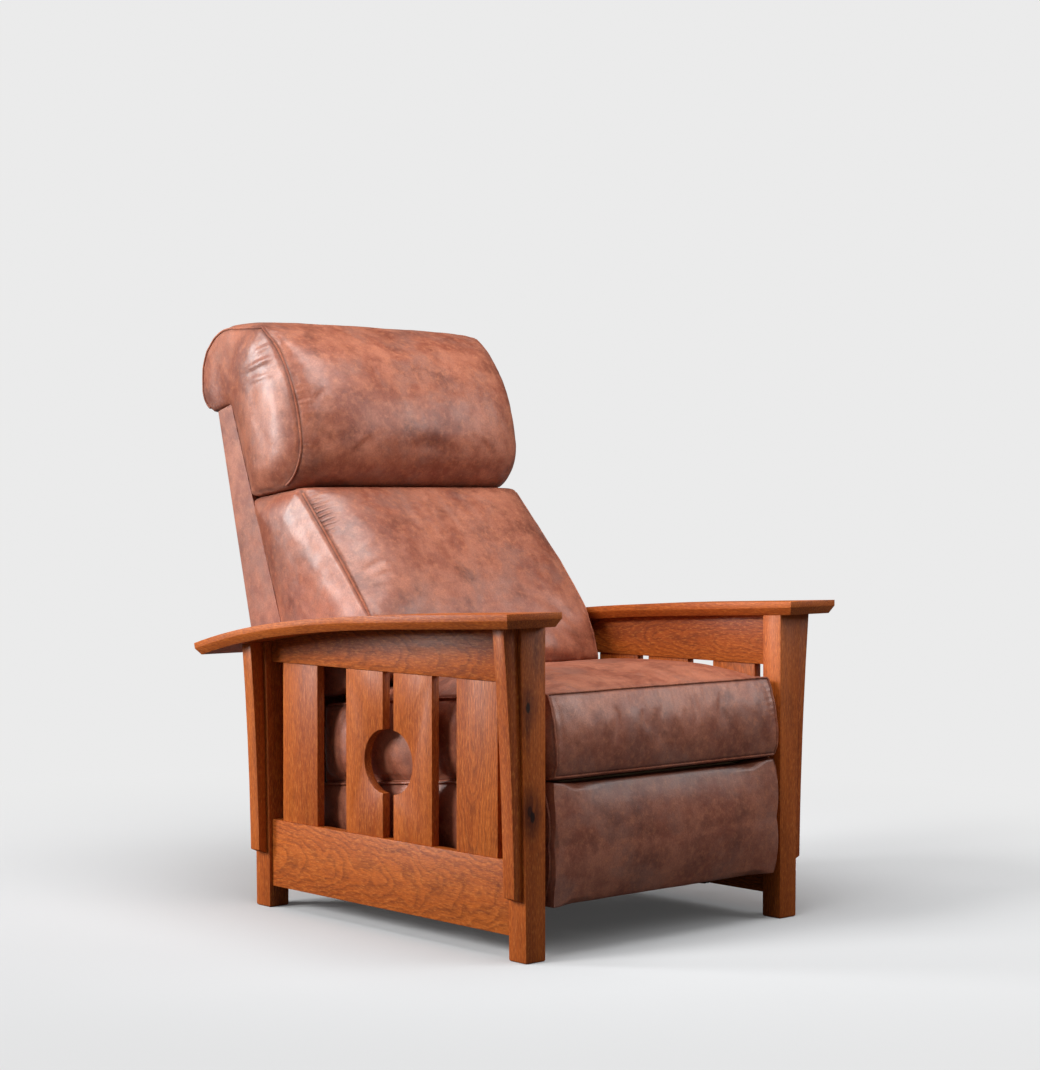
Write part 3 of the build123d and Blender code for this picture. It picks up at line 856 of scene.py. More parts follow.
@dataclass
class SeamLine:
    """One sewn edge round a cushion: a closed line with its length along the way."""

    places: np.ndarray
    along: np.ndarray
    closed: bool = True

    @classmethod
    def from_edges(cls, piece: bpy.types.Object, at_x: float, spacing: float = SEAM_STEP) -> "SeamLine":
        """Follow the mesh edges that lie at one place across the chair.

        Args:
            piece: Copy of a cushion node, merged.
            at_x: Where the sewn edge lies across the chair.
            spacing: Distance between the points of the line.

        Returns:
            The seam.
        """
        spots = corners(piece)
        near = np.abs(spots[:, 0] - at_x) < 3 * MERGE
        links: dict[int, list[int]] = {}
        for edge in piece.data.edges:
            first, second = edge.vertices
            if near[first] and near[second]:
                links.setdefault(first, []).append(second)
                links.setdefault(second, []).append(first)
        start = min((index for index in links if len(links[index]) == 2), key=lambda i: tuple(spots[i]))
        chain = [start, links[start][0]]
        while True:
            ahead = [i for i in links[chain[-1]] if i != chain[-2]]
            if not ahead or ahead[0] == start:
                break
            chain.append(ahead[0])
        points = spots[chain + [start]]
        steps = np.linalg.norm(np.diff(points, axis=0), axis=1)
        reach = np.concatenate(([0.0], np.cumsum(steps)))
        along = np.arange(0.0, reach[-1], spacing)
        places = np.stack([np.interp(along, reach, points[:, axis]) for axis in range(3)], axis=1)
        return cls(places, along)

    @classmethod
    def across(cls, half_width: float, spot: tuple[float, float], spacing: float = SEAM_STEP) -> "SeamLine":
        """Make a straight seam across the chair at one spot of the side view.

        Args:
            half_width: Half its length.
            spot: Its place in the side view.
            spacing: Distance between the points of the line.

        Returns:
            The seam.
        """
        along = np.arange(0.0, 2 * half_width, spacing)
        places = np.stack([along - half_width, np.full_like(along, spot[0]), np.full_like(along, spot[1])],
                          axis=1)
        return cls(places, along, False)

    def nearest(self, spots: np.ndarray) -> tuple[np.ndarray, np.ndarray]:
        """Find the seam's nearest place to each of many points.

        Args:
            spots: The points, one row each.

        Returns:
            The distance of each point, and the length along the seam.
        """
        tree = KDTree(len(self.places))
        for index, place in enumerate(self.places):
            tree.insert(place, index)
        tree.balance()
        found = [tree.find(spot)[1:] for spot in spots]
        indices = np.array([index for index, _ in found])
        return np.array([distance for _, distance in found]), self.along[indices]


@dataclass(frozen=True)
class Wall:
    """A straight limit in the side view, between two points, that a cover stays on one side of."""

    first: tuple[float, float]
    second: tuple[float, float]
    hides_seams: bool = True

    def depth(self, spots: np.ndarray) -> np.ndarray:
        """Measure how far points lie from the wall; past its ends, from the end.

        Args:
            spots: The points, one row each.

        Returns:
            The distance of each point, less than zero behind the wall.
        """
        first, last = np.array(self.first), np.array(self.second)
        length = np.linalg.norm(last - first)
        run = (last - first) / length
        beside = spots[:, 1:] - first
        along = beside @ run
        past = np.clip(-along, 0, None) + np.clip(along - length, 0, None)
        level = beside[:, 1] * run[0] - beside[:, 0] * run[1]
        return np.where(past > 0.001, np.hypot(past, level), level)


@dataclass(frozen=True)
class Fold:
    """A short wrinkle on a cover, from one point to another."""

    start: tuple[float, float]
    end: tuple[float, float]
    beyond: float
    depth: float
    width: float
    ridge: float = 1.4
    valley: float = 0.7
    valley_away: float = 1.6
    end_power: float = 0.7

    def lift(self, spots: np.ndarray) -> np.ndarray:
        """Work out how far the fold raises the side panels.

        Args:
            spots: Points of the cover, one row each.

        Returns:
            The height for each point.
        """
        first, last = np.array(self.start), np.array(self.end)
        run = last - first
        flat = spots[:, 1:]
        share = np.clip((flat - first) @ run / (run @ run), 0, 1)
        away = np.linalg.norm(flat - (first + share[:, None] * run), axis=1) / self.width
        fade = np.sin(math.pi * np.clip(share, 0.02, 0.98)) ** self.end_power
        panel = ramped(np.abs(spots[:, 0]), self.beyond, self.beyond + 0.003)
        rise = self.ridge * np.exp(-away ** 2) - self.valley * np.exp(-(away - self.valley_away) ** 2)
        return self.depth * rise * fade * panel


def wave(along: np.ndarray, seed: int, length: float) -> np.ndarray:
    """Smooth random values between -1 and 1 along a line.

    Args:
        along: Length along the line.
        seed: Seed of the values.
        length: Distance between the random values.

    Returns:
        One value for each length.
    """
    table = np.random.default_rng(seed).uniform(-1, 1, 512)
    place = along / length
    low = np.floor(place).astype(int)
    share = smooth(place - low)
    return table[low % 512] * (1 - share) + table[(low + 1) % 512] * share


def fuller(first: np.ndarray, second: np.ndarray) -> np.ndarray:
    """Work out how far to push two measures out, to bring a round corner nearer to a square one.

    Args:
        first: One measure, from 0 to 1.
        second: The other, from 0 to 1.

    Returns:
        What both are multiplied by.
    """
    return (np.hypot(first, second) / np.maximum(np.maximum(first, second), 0.01)) ** 0.6


@dataclass(frozen=True)
class Stuffing:
    """Pressure in a cover while it is blown up, and how its leather stretches and bends."""

    pressure: float = 4.0
    looseness: float = 0.008
    inset: float = 0.002
    hold: float = 0.006
    frames: int = 14
    quality: int = 5
    mass: float = 0.25
    tension: float = 18.0
    compression: float = 12.0
    shear: float = 6.0
    bending: float = 0.6


@dataclass(frozen=True)
class Sewing:
    """Grooves, puckers, gathers and welts along the seams of a cover; lengths in metres."""

    groove_width: float = 0.0045
    groove_depth: float = 0.0016
    facing: float = 0.004
    pucker_depth: float = 0.0007
    pucker_length: float = 0.011
    pucker_start: float = 0.006
    pucker_reach: float = 0.014
    more_reach: float = 0.016
    reach_length: float = 0.05
    group_length: float = 0.12
    gather_length: float = 0.09
    gather_start: float = 0.005
    gather_reach: float = 0.026
    gather_most: float = 0.12
    pulled_most: float = 1.8
    pulled_reach: float = 0.036
    welt: float = 0.0023
    welt_clear: float = 0.0065
    shortest_welt: int = 8


@dataclass(frozen=True)
class Boxing:
    """Crown, ends and corners of a pad that is flatter and straighter than its simulated cover."""

    crown: float = 0.42
    crown_power: float = 2.1
    flat_power: float = 1.6
    end_crown_loss: float = 0.65
    end_crown_span: tuple[float, float] = (0.12, 0.28)
    row: float = 0.006
    ends_from: float = 0.22
    end_round: float = 0.004
    end_power: int = 8
    corner_lift: float = 0.007
    corner_span: tuple[float, float] = (0.22, 0.27)


@dataclass
class Cushion:
    """A stuffed cover: simulated under pressure, with sewn edges, welts and puckers."""

    node: str
    body: str
    seam_x: float
    voxel: float
    walls: tuple[Wall, ...]
    widest: float
    cap: float
    fill: float
    shift: Triple = (0.0, 0.0, 0.0)
    stuffing: Stuffing = Stuffing()
    sewing: Sewing = Sewing()
    boxing: Boxing | None = None
    unrest: float = 0.0018
    unrest_per_metre: float = 9.0
    soften: int = 5
    calm: int = 0
    wall_slack: float = 0.004
    puff: float = 0.0
    puff_reach: float = 0.085
    puff_power: float = 2.4
    puff_fade: tuple[int, float, float] = (1, 0.0, 1.0)
    cross_seams: tuple[tuple[float, float], ...] = ()
    folds: tuple[Fold, ...] = ()
    gather_at: Triple | None = None
    set_in_to: Triple | None = None
    set_in_from: tuple[float, float] = (0.27, 0.34)
    set_in_out: float = 0.004
    seams: list[SeamLine] = field(default_factory=list)

    def build(self, frame: dict, finish: BrownLeather) -> bpy.types.Object:
        """Make the cover and its welts.

        Args:
            frame: The loaded frame.
            finish: The leather.

        Returns:
            The cover.
        """
        piece = copied_node(frame["nodes"][self.node], self.node + ".cover")
        self.seams = [SeamLine.from_edges(piece, side * self.seam_x) for side in (-1, 1)]
        for seam in self.seams:
            self.set_in(seam)
        self.seams += [SeamLine.across(self.seam_x, spot) for spot in self.cross_seams]
        self.remesh(piece)
        start = corners(piece)
        self.inflate(piece, start)
        self.limit(piece, start)
        self.refine(piece)
        if self.boxing:
            self.square_up(piece, self.boxing)
        if self.puff:
            self.puff_sides(piece)
        self.sew(piece)
        bpy.ops.object.shade_smooth()
        leather = finish.build(self.node + "_leather", self.shift)
        hand_over(piece, leather, self.body, "leather", self.node)
        dull = finish.dulled().build(self.node + "_welt_leather", self.shift)
        for side, seam in zip(("right", "left", "upper", "lower"), self.seams):
            self.add_welt(piece, seam, side, dull)
        LOG.info("cushion %s: %d faces", self.node, len(piece.data.polygons))
        return piece

    def set_in(self, seam: SeamLine) -> None:
        """Bring the rear of a side seam a little onto the side panel.

        Args:
            seam: The seam.
        """
        if self.set_in_to is None:
            return
        centre, amount = np.array(self.set_in_to[:2]), self.set_in_to[2]
        share = smooth(ramped(seam.places[:, 1], *self.set_in_from))
        inward = centre - seam.places[:, 1:]
        inward /= np.linalg.norm(inward, axis=1)[:, None]
        seam.places[:, 1:] += inward * (amount * share)[:, None]
        seam.places[:, 0] += np.sign(seam.places[:, 0]) * self.set_in_out * share

    def remesh(self, piece: bpy.types.Object) -> None:
        """Turn the faceted copy into even, softened squares.

        Args:
            piece: The cover.
        """
        voxels = piece.modifiers.new("even", "REMESH")
        voxels.mode = "VOXEL"
        voxels.voxel_size = self.voxel
        soften = piece.modifiers.new("soften", "SMOOTH")
        soften.factor = 0.5
        soften.iterations = self.soften
        finish_modifiers(piece)

    def inflate(self, piece: bpy.types.Object, start: np.ndarray) -> None:
        """Blow the cover up between its held faces and its sewn edges.

        Args:
            piece: The cover.
            start: Its vertices, one row each.
        """
        stuffing = self.stuffing
        held = np.zeros(len(start))
        for wall in self.walls:
            held = np.maximum(held, np.clip(1.5 - wall.depth(start) / stuffing.hold, 0, 1))
        for seam in self.seams:
            distance, _ = seam.nearest(start)
            held = np.maximum(held, np.clip(1.6 - distance / self.voxel, 0, 1))
        free = np.clip(1 - held, 0, 1)
        move_corners(piece, start - normals(piece) * (stuffing.inset * free)[:, None])
        group = piece.vertex_groups.new(name="held")
        levels = np.round(held, 1)
        for level in np.unique(levels):
            if level > 0:
                group.add(np.flatnonzero(levels == level).tolist(), float(level), "REPLACE")
        cloth = piece.modifiers.new("stuffing", "CLOTH")
        settings = cloth.settings
        settings.quality = stuffing.quality
        settings.mass = stuffing.mass
        settings.tension_stiffness = stuffing.tension
        settings.compression_stiffness = stuffing.compression
        settings.shear_stiffness = stuffing.shear
        settings.bending_stiffness = stuffing.bending
        settings.use_pressure = True
        settings.uniform_pressure_force = stuffing.pressure
        settings.vertex_group_mass = group.name
        settings.shrink_min = -stuffing.looseness
        settings.effector_weights.gravity = 0
        cloth.collision_settings.use_collision = False
        cloth.collision_settings.use_self_collision = False
        cloth.point_cache.frame_start = 1
        cloth.point_cache.frame_end = stuffing.frames
        scene = bpy.context.scene
        for step in range(1, stuffing.frames + 1):
            scene.frame_set(step)
        pick_only(piece)
        bpy.ops.object.modifier_apply(modifier=cloth.name)
        scene.frame_set(1)
        piece.vertex_groups.clear()

    def limit(self, piece: bpy.types.Object, start: np.ndarray) -> None:
        """Cap how far the cover has moved, and keep it inside its walls.

        Args:
            piece: The cover.
            start: Its vertices before it was blown up.
        """
        places = corners(piece)
        move = places - start
        length = np.linalg.norm(move, axis=1)
        capped = self.cap * np.tanh(length / self.cap)
        places = start + move * (capped / np.maximum(length, 1e-9))[:, None]
        places[:, 0] = np.clip(places[:, 0], -self.widest, self.widest)
        for wall in self.walls:
            (y0, z0), (y1, z1) = wall.first, wall.second
            length_yz = math.hypot(y1 - y0, z1 - z0)
            behind = np.clip(-wall.depth(places), 0, None) * (wall.depth(start) > -self.wall_slack)
            places[:, 1] += behind * (z0 - z1) / length_yz
            places[:, 2] += behind * (y1 - y0) / length_yz
        move_corners(piece, places)

    def refine(self, piece: bpy.types.Object) -> None:
        """Smooth the cover once more, its side panels most, and divide its squares.

        Args:
            piece: The cover.
        """
        beyond = np.abs(corners(piece)[:, 0]) > self.seam_x + 0.0015
        group = piece.vertex_groups.new(name="panels")
        group.add(np.flatnonzero(beyond).tolist(), 1.0, "REPLACE")
        calm = piece.modifiers.new("calm", "SMOOTH")
        calm.factor = 0.5
        calm.iterations = self.calm
        calm.vertex_group = group.name
        soften = piece.modifiers.new("soften", "SMOOTH")
        soften.factor = 0.5
        soften.iterations = 1
        divide = piece.modifiers.new("divide", "SUBSURF")
        divide.levels = 1
        divide.render_levels = 1
        finish_modifiers(piece)

    def square_up(self, piece: bpy.types.Object, box: Boxing) -> None:
        """Make the front flatter and the ends straighter, with small round edges.

        Args:
            piece: The cover.
            box: How far.
        """
        places = corners(piece)
        wall_y = self.walls[0].first[0]
        front = places[:, 1].min() - wall_y
        low, high = places[:, 2].min(), places[:, 2].max()
        deep = np.clip((places[:, 1] - wall_y) / front, 0, 1)
        level = (2 * places[:, 2] - high - low) / (high - low)
        wide = np.abs(places[:, 0])
        rows = np.round((places[:, 2] - low) / box.row).astype(int)
        reach = np.zeros(rows.max() + 1)
        np.maximum.at(reach, rows, wide)
        reach = np.convolve(np.pad(reach, 4, "edge"), np.full(9, 1 / 9), "valid")
        edge = np.interp((places[:, 2] - low) / box.row, np.arange(len(reach)), reach)
        start = box.ends_from
        out = np.clip((wide - start) / (edge - start), 0, 1)
        depth_level, depth_out = fuller(deep, np.abs(level)), fuller(deep, out)
        level_out = fuller(np.abs(level), out)
        flat = 1 - (1 - np.clip(deep * depth_level * depth_out, 0, 1)) ** box.flat_power
        level = np.clip(level * np.where(deep > 0, depth_level, 1) * level_out, -1, 1)
        out = np.clip(out * np.where(deep > 0, depth_out, 1) * level_out, 0, 1)
        crown = box.crown * (1 - box.end_crown_loss * ramped(wide, *box.end_crown_span) ** 2)
        crowned = flat * (1 - crown * np.abs(level) ** box.crown_power * ramped(flat, 0.5, 1.0))
        places[:, 1] = np.where(deep > 0, wall_y + front * crowned, places[:, 1])
        target = self.widest - box.end_round * np.abs(level) ** box.end_power
        moved = start + (target - start) * out
        places[:, 0] = np.sign(places[:, 0]) * np.where(wide > start, moved, wide)
        lift = box.corner_lift * ramped(wide, *box.corner_span) * np.clip(level, 0, 1)
        places[:, 2] = (level * (high - low) + high + low) / 2 + lift
        move_corners(piece, places)

    def puff_sides(self, piece: bpy.types.Object) -> None:
        """Swell the side panels beside their seams.

        Args:
            piece: The cover.
        """
        places = corners(piece)
        axis, none_at, full_at = self.puff_fade
        share = smooth(ramped(places[:, axis], none_at, full_at))
        for side, seam in zip((-1, 1), self.seams):
            distance, _ = seam.nearest(places)
            far = 1 - np.clip(distance / self.puff_reach, 0, 1)
            beyond = ramped(side * places[:, 0], self.seam_x, self.seam_x + 0.0012)
            places[:, 0] += side * self.puff * (1 - far ** self.puff_power) * beyond * share
        move_corners(piece, places)

    def sew(self, piece: bpy.types.Object) -> None:
        """Draw the cover in along its seams, pucker it beside them, and mark them for the finish, which
        paints shade in the grooves and gathers.

        Args:
            piece: The cover.
        """
        sewing = self.sewing
        places = corners(piece)
        arrows = normals(piece)
        lift, mark, gather, length = np.zeros((4, len(places)))
        facing = ramped(-np.abs(places[:, 0]), -self.seam_x, sewing.facing - self.seam_x)
        for number, seam in enumerate(self.seams):
            distance, along = seam.nearest(places)
            seed = sum(map(ord, self.node)) + number
            groove = np.exp(-(distance / sewing.groove_width) ** 2)
            groups = np.clip(wave(along, seed + 50, sewing.group_length) + 0.25, 0, 1)
            waves = np.clip(wave(along, seed, sewing.pucker_length), -1, 1) * groups
            more = sewing.more_reach * (wave(along, seed + 9, sewing.reach_length) + 1) / 2
            fade = np.exp(-(distance / (sewing.pucker_reach + more)) ** 1.5)
            fade *= 1 - np.exp(-(distance / sewing.pucker_start) ** 2)
            lift += sewing.pucker_depth * waves * fade * facing - sewing.groove_depth * groove
            mark = np.maximum(mark, groove)
            pulled = wave(along, seed + 50, sewing.gather_length) * 0.9 - 0.55
            pulled = np.maximum(np.clip(pulled, 0, sewing.gather_most), self.gathered(places)) * facing
            pulled *= np.exp(-(distance / sewing.gather_reach) ** 2)
            pulled *= 1 - np.exp(-(distance / sewing.gather_start) ** 2)
            length = np.where(pulled > gather, along, length)
            gather = np.maximum(gather, pulled)
        for fold in self.folds:
            lift += fold.lift(places)
        settled = np.ones(len(places))
        for wall in self.walls:
            settled *= np.clip(wall.depth(places) / 0.02, 0, 1)
        lumps = np.array([noise.fractal(Vector(place) * self.unrest_per_metre, 0.8, 2.1, 3)
                          for place in places])
        lift += self.unrest * lumps * settled
        move_corners(piece, places + arrows * (lift * np.clip(settled * 4, 0, 1))[:, None])
        # The finish paints shade where seam and gather are high.
        for name, values in (("seam", mark), ("gather", gather), ("along", length)):
            layer = piece.data.attributes.new(name, "FLOAT", "POINT")
            layer.data.foreach_set("value", values.astype(np.float32))

    def gathered(self, places: np.ndarray) -> np.ndarray:
        """Work out how strongly the cover is gathered at its one marked place a side.

        Args:
            places: Vertices of the cover, one row each.

        Returns:
            The strength at each vertex.
        """
        if self.gather_at is None:
            return np.zeros(len(places))
        mirrored = np.column_stack((np.abs(places[:, 0]), places[:, 1:]))
        near = np.linalg.norm(mirrored - self.gather_at, axis=1)
        return self.sewing.pulled_most * np.exp(-(near / self.sewing.pulled_reach) ** 2)

    def add_welt(self, cover: bpy.types.Object, seam: SeamLine, side: str,
                 material: bpy.types.Material) -> None:
        """Lay a thin welt along a seam, on the finished cover.

        Args:
            cover: The finished cover.
            seam: The seam.
            side: Word that goes into the name of the welt.
            material: Leather of the welt.
        """
        sewing = self.sewing
        surface = BVHTree.FromObject(cover, bpy.context.evaluated_depsgraph_get())
        spots = seam.places[::3]
        clear = np.ones(len(spots), dtype=bool)
        for wall in self.walls:
            if wall.hides_seams:
                clear &= wall.depth(spots) > sewing.welt_clear
        settled = []
        for spot in spots:
            place, arrow, _, _ = surface.find_nearest(Vector(spot))
            settled.append(place + arrow * sewing.welt * 0.4)
        runs = runs_of(clear) if seam.closed else [list(range(len(spots)))]
        for number, run in enumerate(runs):
            if len(run) < sewing.shortest_welt:
                continue
            name = f"{self.node}.{side}_welt" + (f"_{number}" if len(runs) > 1 else "")
            ring = seam.closed and len(run) == len(spots)
            tube = laid_tube(name, [settled[index] for index in run], sewing.welt, ring)
            hand_over(tube, material, self.body, "leather")


def runs_of(flags: np.ndarray) -> list[list[int]]:
    """Find the groups of neighbours that are set, on a ring.

    Args:
        flags: The ring.

    Returns:
        The indices of each group, in order.
    """
    count = len(flags)
    if flags.all():
        return [list(range(count))]
    first = int(np.flatnonzero(~flags)[0])
    runs: list[list[int]] = [[]]
    for step in range(count):
        index = (first + step) % count
        if flags[index]:
            runs[-1].append(index)
        elif runs[-1]:
            runs.append([])
    return [run for run in runs if run]


def laid_tube(name: str, points: list[Vector], radius: float, closed: bool) -> bpy.types.Object:
    """Make a thin tube through points.

    Args:
        name: Name of the piece.
        points: Where its middle runs.
        radius: Half its thickness.
        closed: Whether its end joins its start.

    Returns:
        The tube, as a mesh.
    """
    line = bpy.data.curves.new(name, "CURVE")
    line.dimensions = "3D"
    spline = line.splines.new("POLY")
    spline.points.add(len(points) - 1)
    for point, place in zip(spline.points, points):
        point.co = (*place, 1.0)
    spline.use_cyclic_u = closed
    line.bevel_depth = radius
    line.bevel_resolution = 1
    line.use_fill_caps = True
    tube = bpy.data.objects.new(name, line)
    bpy.context.scene.collection.objects.link(tube)
    pick_only(tube)
    bpy.ops.object.convert(target="MESH")
    bpy.ops.object.shade_smooth()
    return bpy.context.view_layer.objects.active


@dataclass
class PlainPiece:
    """A piece that keeps the solid's shape, with eased edges."""

    node: str
    body: str
    slot: str
    ease: float = 0.0006
    smooth_degrees: float = 40.0
    eased_degrees: float = 28.0

    def build(self, frame: dict, material: bpy.types.Material) -> bpy.types.Object:
        """Copy the node, ease its edges and give it its finish.

        Args:
            frame: The loaded frame.
            material: The finish.

        Returns:
            The piece.
        """
        piece = eased_copy(frame["nodes"][self.node], self.node + ".look", self.ease, self.eased_degrees)
        bpy.ops.object.shade_smooth_by_angle(angle=math.radians(self.smooth_degrees))
        hand_over(piece, material, self.body, self.slot, self.node)
        return piece


@dataclass
class PuffedSkirt:
    """Leather skirt below one side of the seat, lightly stuffed, with the seat's lower welt above it."""

    node: str
    way: int
    front_y: float = -0.470
    rear_y: float = 0.1315
    bottom_z: float = 0.150
    front_top_z: float = 0.3022
    rear_top_z: float = 0.2421
    inner_x: float = 0.277
    outer_x: float = 0.2835
    swell: float = 0.0115
    welt: float = 0.0026
    welt_x: float = 0.2868
    welt_rise: float = 0.0012
    welt_steps: int = 60
    steps_past_front: int = 3
    cuts: int = 30
    end_power: int = 9
    edge_power: float = 3.4
    smooth_degrees: float = 50.0

    def build(self, frame: dict, material: bpy.types.Material) -> None:
        """Build the skirt as a thin pillow, and the welt along its top.

        Args:
            frame: The loaded frame; not used.
            material: The leather.
        """
        bpy.ops.mesh.primitive_cube_add(size=2.0)
        skirt = bpy.context.view_layer.objects.active
        skirt.name = self.node + ".cover"
        edit_all(skirt, lambda: bpy.ops.mesh.subdivide(number_cuts=self.cuts))
        deep, along, up = ((corners(skirt) + 1) / 2).T
        puff = (1 - np.abs(2 * along - 1) ** self.end_power) * (1 - np.abs(2 * up - 1) ** self.edge_power)
        across = self.inner_x + deep * (self.outer_x - self.inner_x + self.swell * puff)
        back, top = self.top_line(along)
        up = self.bottom_z + (top - self.bottom_z) * up
        move_corners(skirt, np.column_stack((self.way * across, back, up)))
        edit_all(skirt, face_outwards)
        bpy.ops.object.shade_smooth_by_angle(angle=math.radians(self.smooth_degrees))
        hand_over(skirt, material, "frame", "leather", self.node)
        steps = np.arange(-self.steps_past_front, self.welt_steps + 1) / self.welt_steps
        x = self.way * self.welt_x
        line = [Vector((x, y, z + self.welt_rise)) for y, z in zip(*self.top_line(steps))]
        tube = laid_tube(self.node + ".welt", line, self.welt, False)
        hand_over(tube, material, "frame", "leather")

    def top_line(self, share: np.ndarray) -> tuple[np.ndarray, np.ndarray]:
        """Follow the skirt's top edge from its front to its rear.

        Args:
            share: Shares of the way.

        Returns:
            The place from front to rear, and the height, for each share.
        """
        return (self.front_y + (self.rear_y - self.front_y) * share,
                self.front_top_z + (self.rear_top_z - self.front_top_z) * share)


@dataclass
class OakFrame:
    """The open wooden frame: posts, arms, corbels, rails and slats."""

    finish: StainedOak = StainedOak()
    next_board: Triple = (0.7, 0.43, 0.29)
    left_side: float = 0.31

    def boards(self) -> list[EasedBoard]:
        """List every board, with its grain, its cut and its place in the log.

        Returns:
            The boards.
        """
        kinds = (("arm", Grain.ALONG, Cut.QUARTER), ("front_post", Grain.UP, Cut.QUARTER),
                 ("rear_post", Grain.UP, Cut.QUARTER), ("front_corbel", Grain.UP, Cut.QUARTER),
                 ("rear_corbel", Grain.UP, Cut.QUARTER), ("bottom_rail", Grain.ALONG, Cut.PLAIN),
                 ("top_rail", Grain.ALONG, Cut.PLAIN), ("rear_slat", Grain.UP, Cut.QUARTER),
                 ("rear_cut_slat", Grain.UP, Cut.QUARTER), ("front_cut_slat", Grain.UP, Cut.QUARTER),
                 ("front_slat", Grain.UP, Cut.PLAIN))
        hearts = {"bottom_rail": (0.27, 0.0, 0.10), "top_rail": (0.26, 0.0, 0.52),
                  "front_slat": (0.29, -0.37, 0.0)}
        made = []
        for index, (kind, grain, cut) in enumerate(kinds):
            for side, way in SIDES:
                x, y, z = (step * index for step in self.next_board)
                shift = (x + (self.left_side if way > 0 else 0.0), y, z)
                across, along, up = hearts.get(kind, (0.0, 0.0, 0.0))
                made.append(EasedBoard(side + kind, grain, cut, shift, (way * across, along, up)))
        post = next(board for board in made if board.node == "right_front_post")
        post.knots = ((-0.340, -0.5185, 0.437), (-0.336, -0.5185, 0.260), (-0.329, -0.5185, 0.250))
        made += [EasedBoard(name, Grain.ACROSS, Cut.PLAIN, (0.5, 0.9, 0.2), (0.0, -0.30, 0.12))
                 for name in ("front_cross_rail", "rear_cross_rail")]
        return made

    def build(self, frame: dict) -> None:
        """Build every board of the frame.

        Args:
            frame: The loaded frame.
        """
        for board in self.boards():
            board.build(frame, self.finish)


@dataclass
class Upholstery:
    """Cushions, head roll, footrest pad, skirts and the outside of the back."""

    finish: BrownLeather = BrownLeather()
    seat_front_seam: tuple[float, float] = (-0.505, 0.458)
    seat_nose_seam: tuple[float, float] = (-0.5225, 0.312)
    crease_front: tuple[float, float] = (-0.1, 0.8554)
    crease_rear: tuple[float, float] = (0.3744, 0.7928)
    crease_gap: float = 0.0008
    back_foot: tuple[float, float] = (0.2226, 0.402)
    back_head: tuple[float, float] = (0.4485, 0.9826)
    shell_edge_z: float = 0.268
    shell_drop: float = 0.020
    shell_lean: float = 0.2611

    def cushions(self) -> list[Cushion]:
        """List the stuffed pieces, with the walls that their covers rest against.

        Returns:
            The cushions.
        """
        (front_y, front_z), (rear_y, rear_z) = self.crease_front, self.crease_rear
        above_crease = Wall(self.crease_front, self.crease_rear)
        below_crease = Wall((rear_y, rear_z - self.crease_gap), (front_y, front_z - self.crease_gap))
        back_line = Wall(self.back_foot, self.back_head)
        seat_walls = (Wall((-0.5185, 0.308), (0.1315, 0.243), False), Wall((0.1315, 0.2), (0.1315, 0.5)),
                      Wall((0.16, 0.4), (-0.06, 0.4485)))
        lumbar_walls = (below_crease, back_line, Wall((-0.014, 0.452), (0.105, 0.413)),
                        Wall((0.105, 0.413), self.back_foot))
        roll_walls = (above_crease, back_line, Wall(self.back_head, (0.508, 0.9668)))
        board_walls = (Wall((-0.478, 0.05), (-0.478, 0.35)),)
        seat = Cushion(
            "seat_cushion", "frame", seam_x=0.284, voxel=0.008, walls=seat_walls, widest=0.2915, cap=0.006,
            fill=0.8, soften=2, unrest=0.0010, puff=0.010, puff_reach=0.075, puff_fade=(1, -0.465, -0.40),
            cross_seams=(self.seat_front_seam, self.seat_nose_seam))
        lumbar = Cushion(
            "back_cushion", "back", seam_x=0.280, voxel=0.0075, walls=lumbar_walls, widest=0.2895, cap=0.008,
            fill=0.75, shift=(3.1, 0.4, 1.7), puff=0.013, puff_fade=(2, 0.45, 0.78),
            gather_at=(0.262, 0.150, 0.768), calm=30)
        roll = Cushion(
            "headrest_roll", "back", seam_x=0.280, voxel=0.0065, walls=roll_walls, widest=0.2895, cap=0.005,
            fill=0.8, shift=(1.3, 2.6, 0.9), puff=0.014, puff_fade=(1, 0.50, 0.34),
            folds=self.panel_folds(), soften=10, calm=30, set_in_to=(0.36, 0.95, 0.0055))
        footrest = Cushion(
            "footrest_pad", "footrest", seam_x=0.279, voxel=0.005, walls=board_walls, widest=0.2842,
            cap=0.002, fill=0.85, shift=(5.2, 1.1, 3.4), boxing=Boxing(), unrest=0.0005)
        return [seat, lumbar, roll, footrest]

    def lower(self, back: bpy.types.Object) -> None:
        """Carry the lower edge of the outside back down along its lean.

        Args:
            back: The outside of the back.
        """
        places = corners(back)
        edge = places[:, 2] < self.shell_edge_z
        places[edge] -= np.array((0.0, self.shell_drop * self.shell_lean, self.shell_drop))
        move_corners(back, places)

    def panel_folds(self) -> tuple[Fold, ...]:
        """Slanting wrinkles on the side panels of the roll, near the top of the seam."""
        return (Fold((0.365, 1.046), (0.290, 1.069), 0.281, 0.0013, 0.0062),
                Fold((0.355, 1.024), (0.284, 1.036), 0.281, 0.0009, 0.0058),
                Fold((0.340, 1.078), (0.298, 1.098), 0.281, 0.0006, 0.0054))

    def build(self, frame: dict) -> None:
        """Build every upholstered piece.

        Args:
            frame: The loaded frame.
        """
        for cushion in self.cushions():
            cushion.build(frame, self.finish)
        shell = self.finish.build("shell_leather", (2.2, 4.1, 0.3))
        back = PlainPiece("outside_back", "back", "leather", 0.0, 50.0).build(frame, shell)
        self.lower(back)
        for side, way in SIDES:
            PuffedSkirt(side + "seat_skirt", way).build(frame, shell)


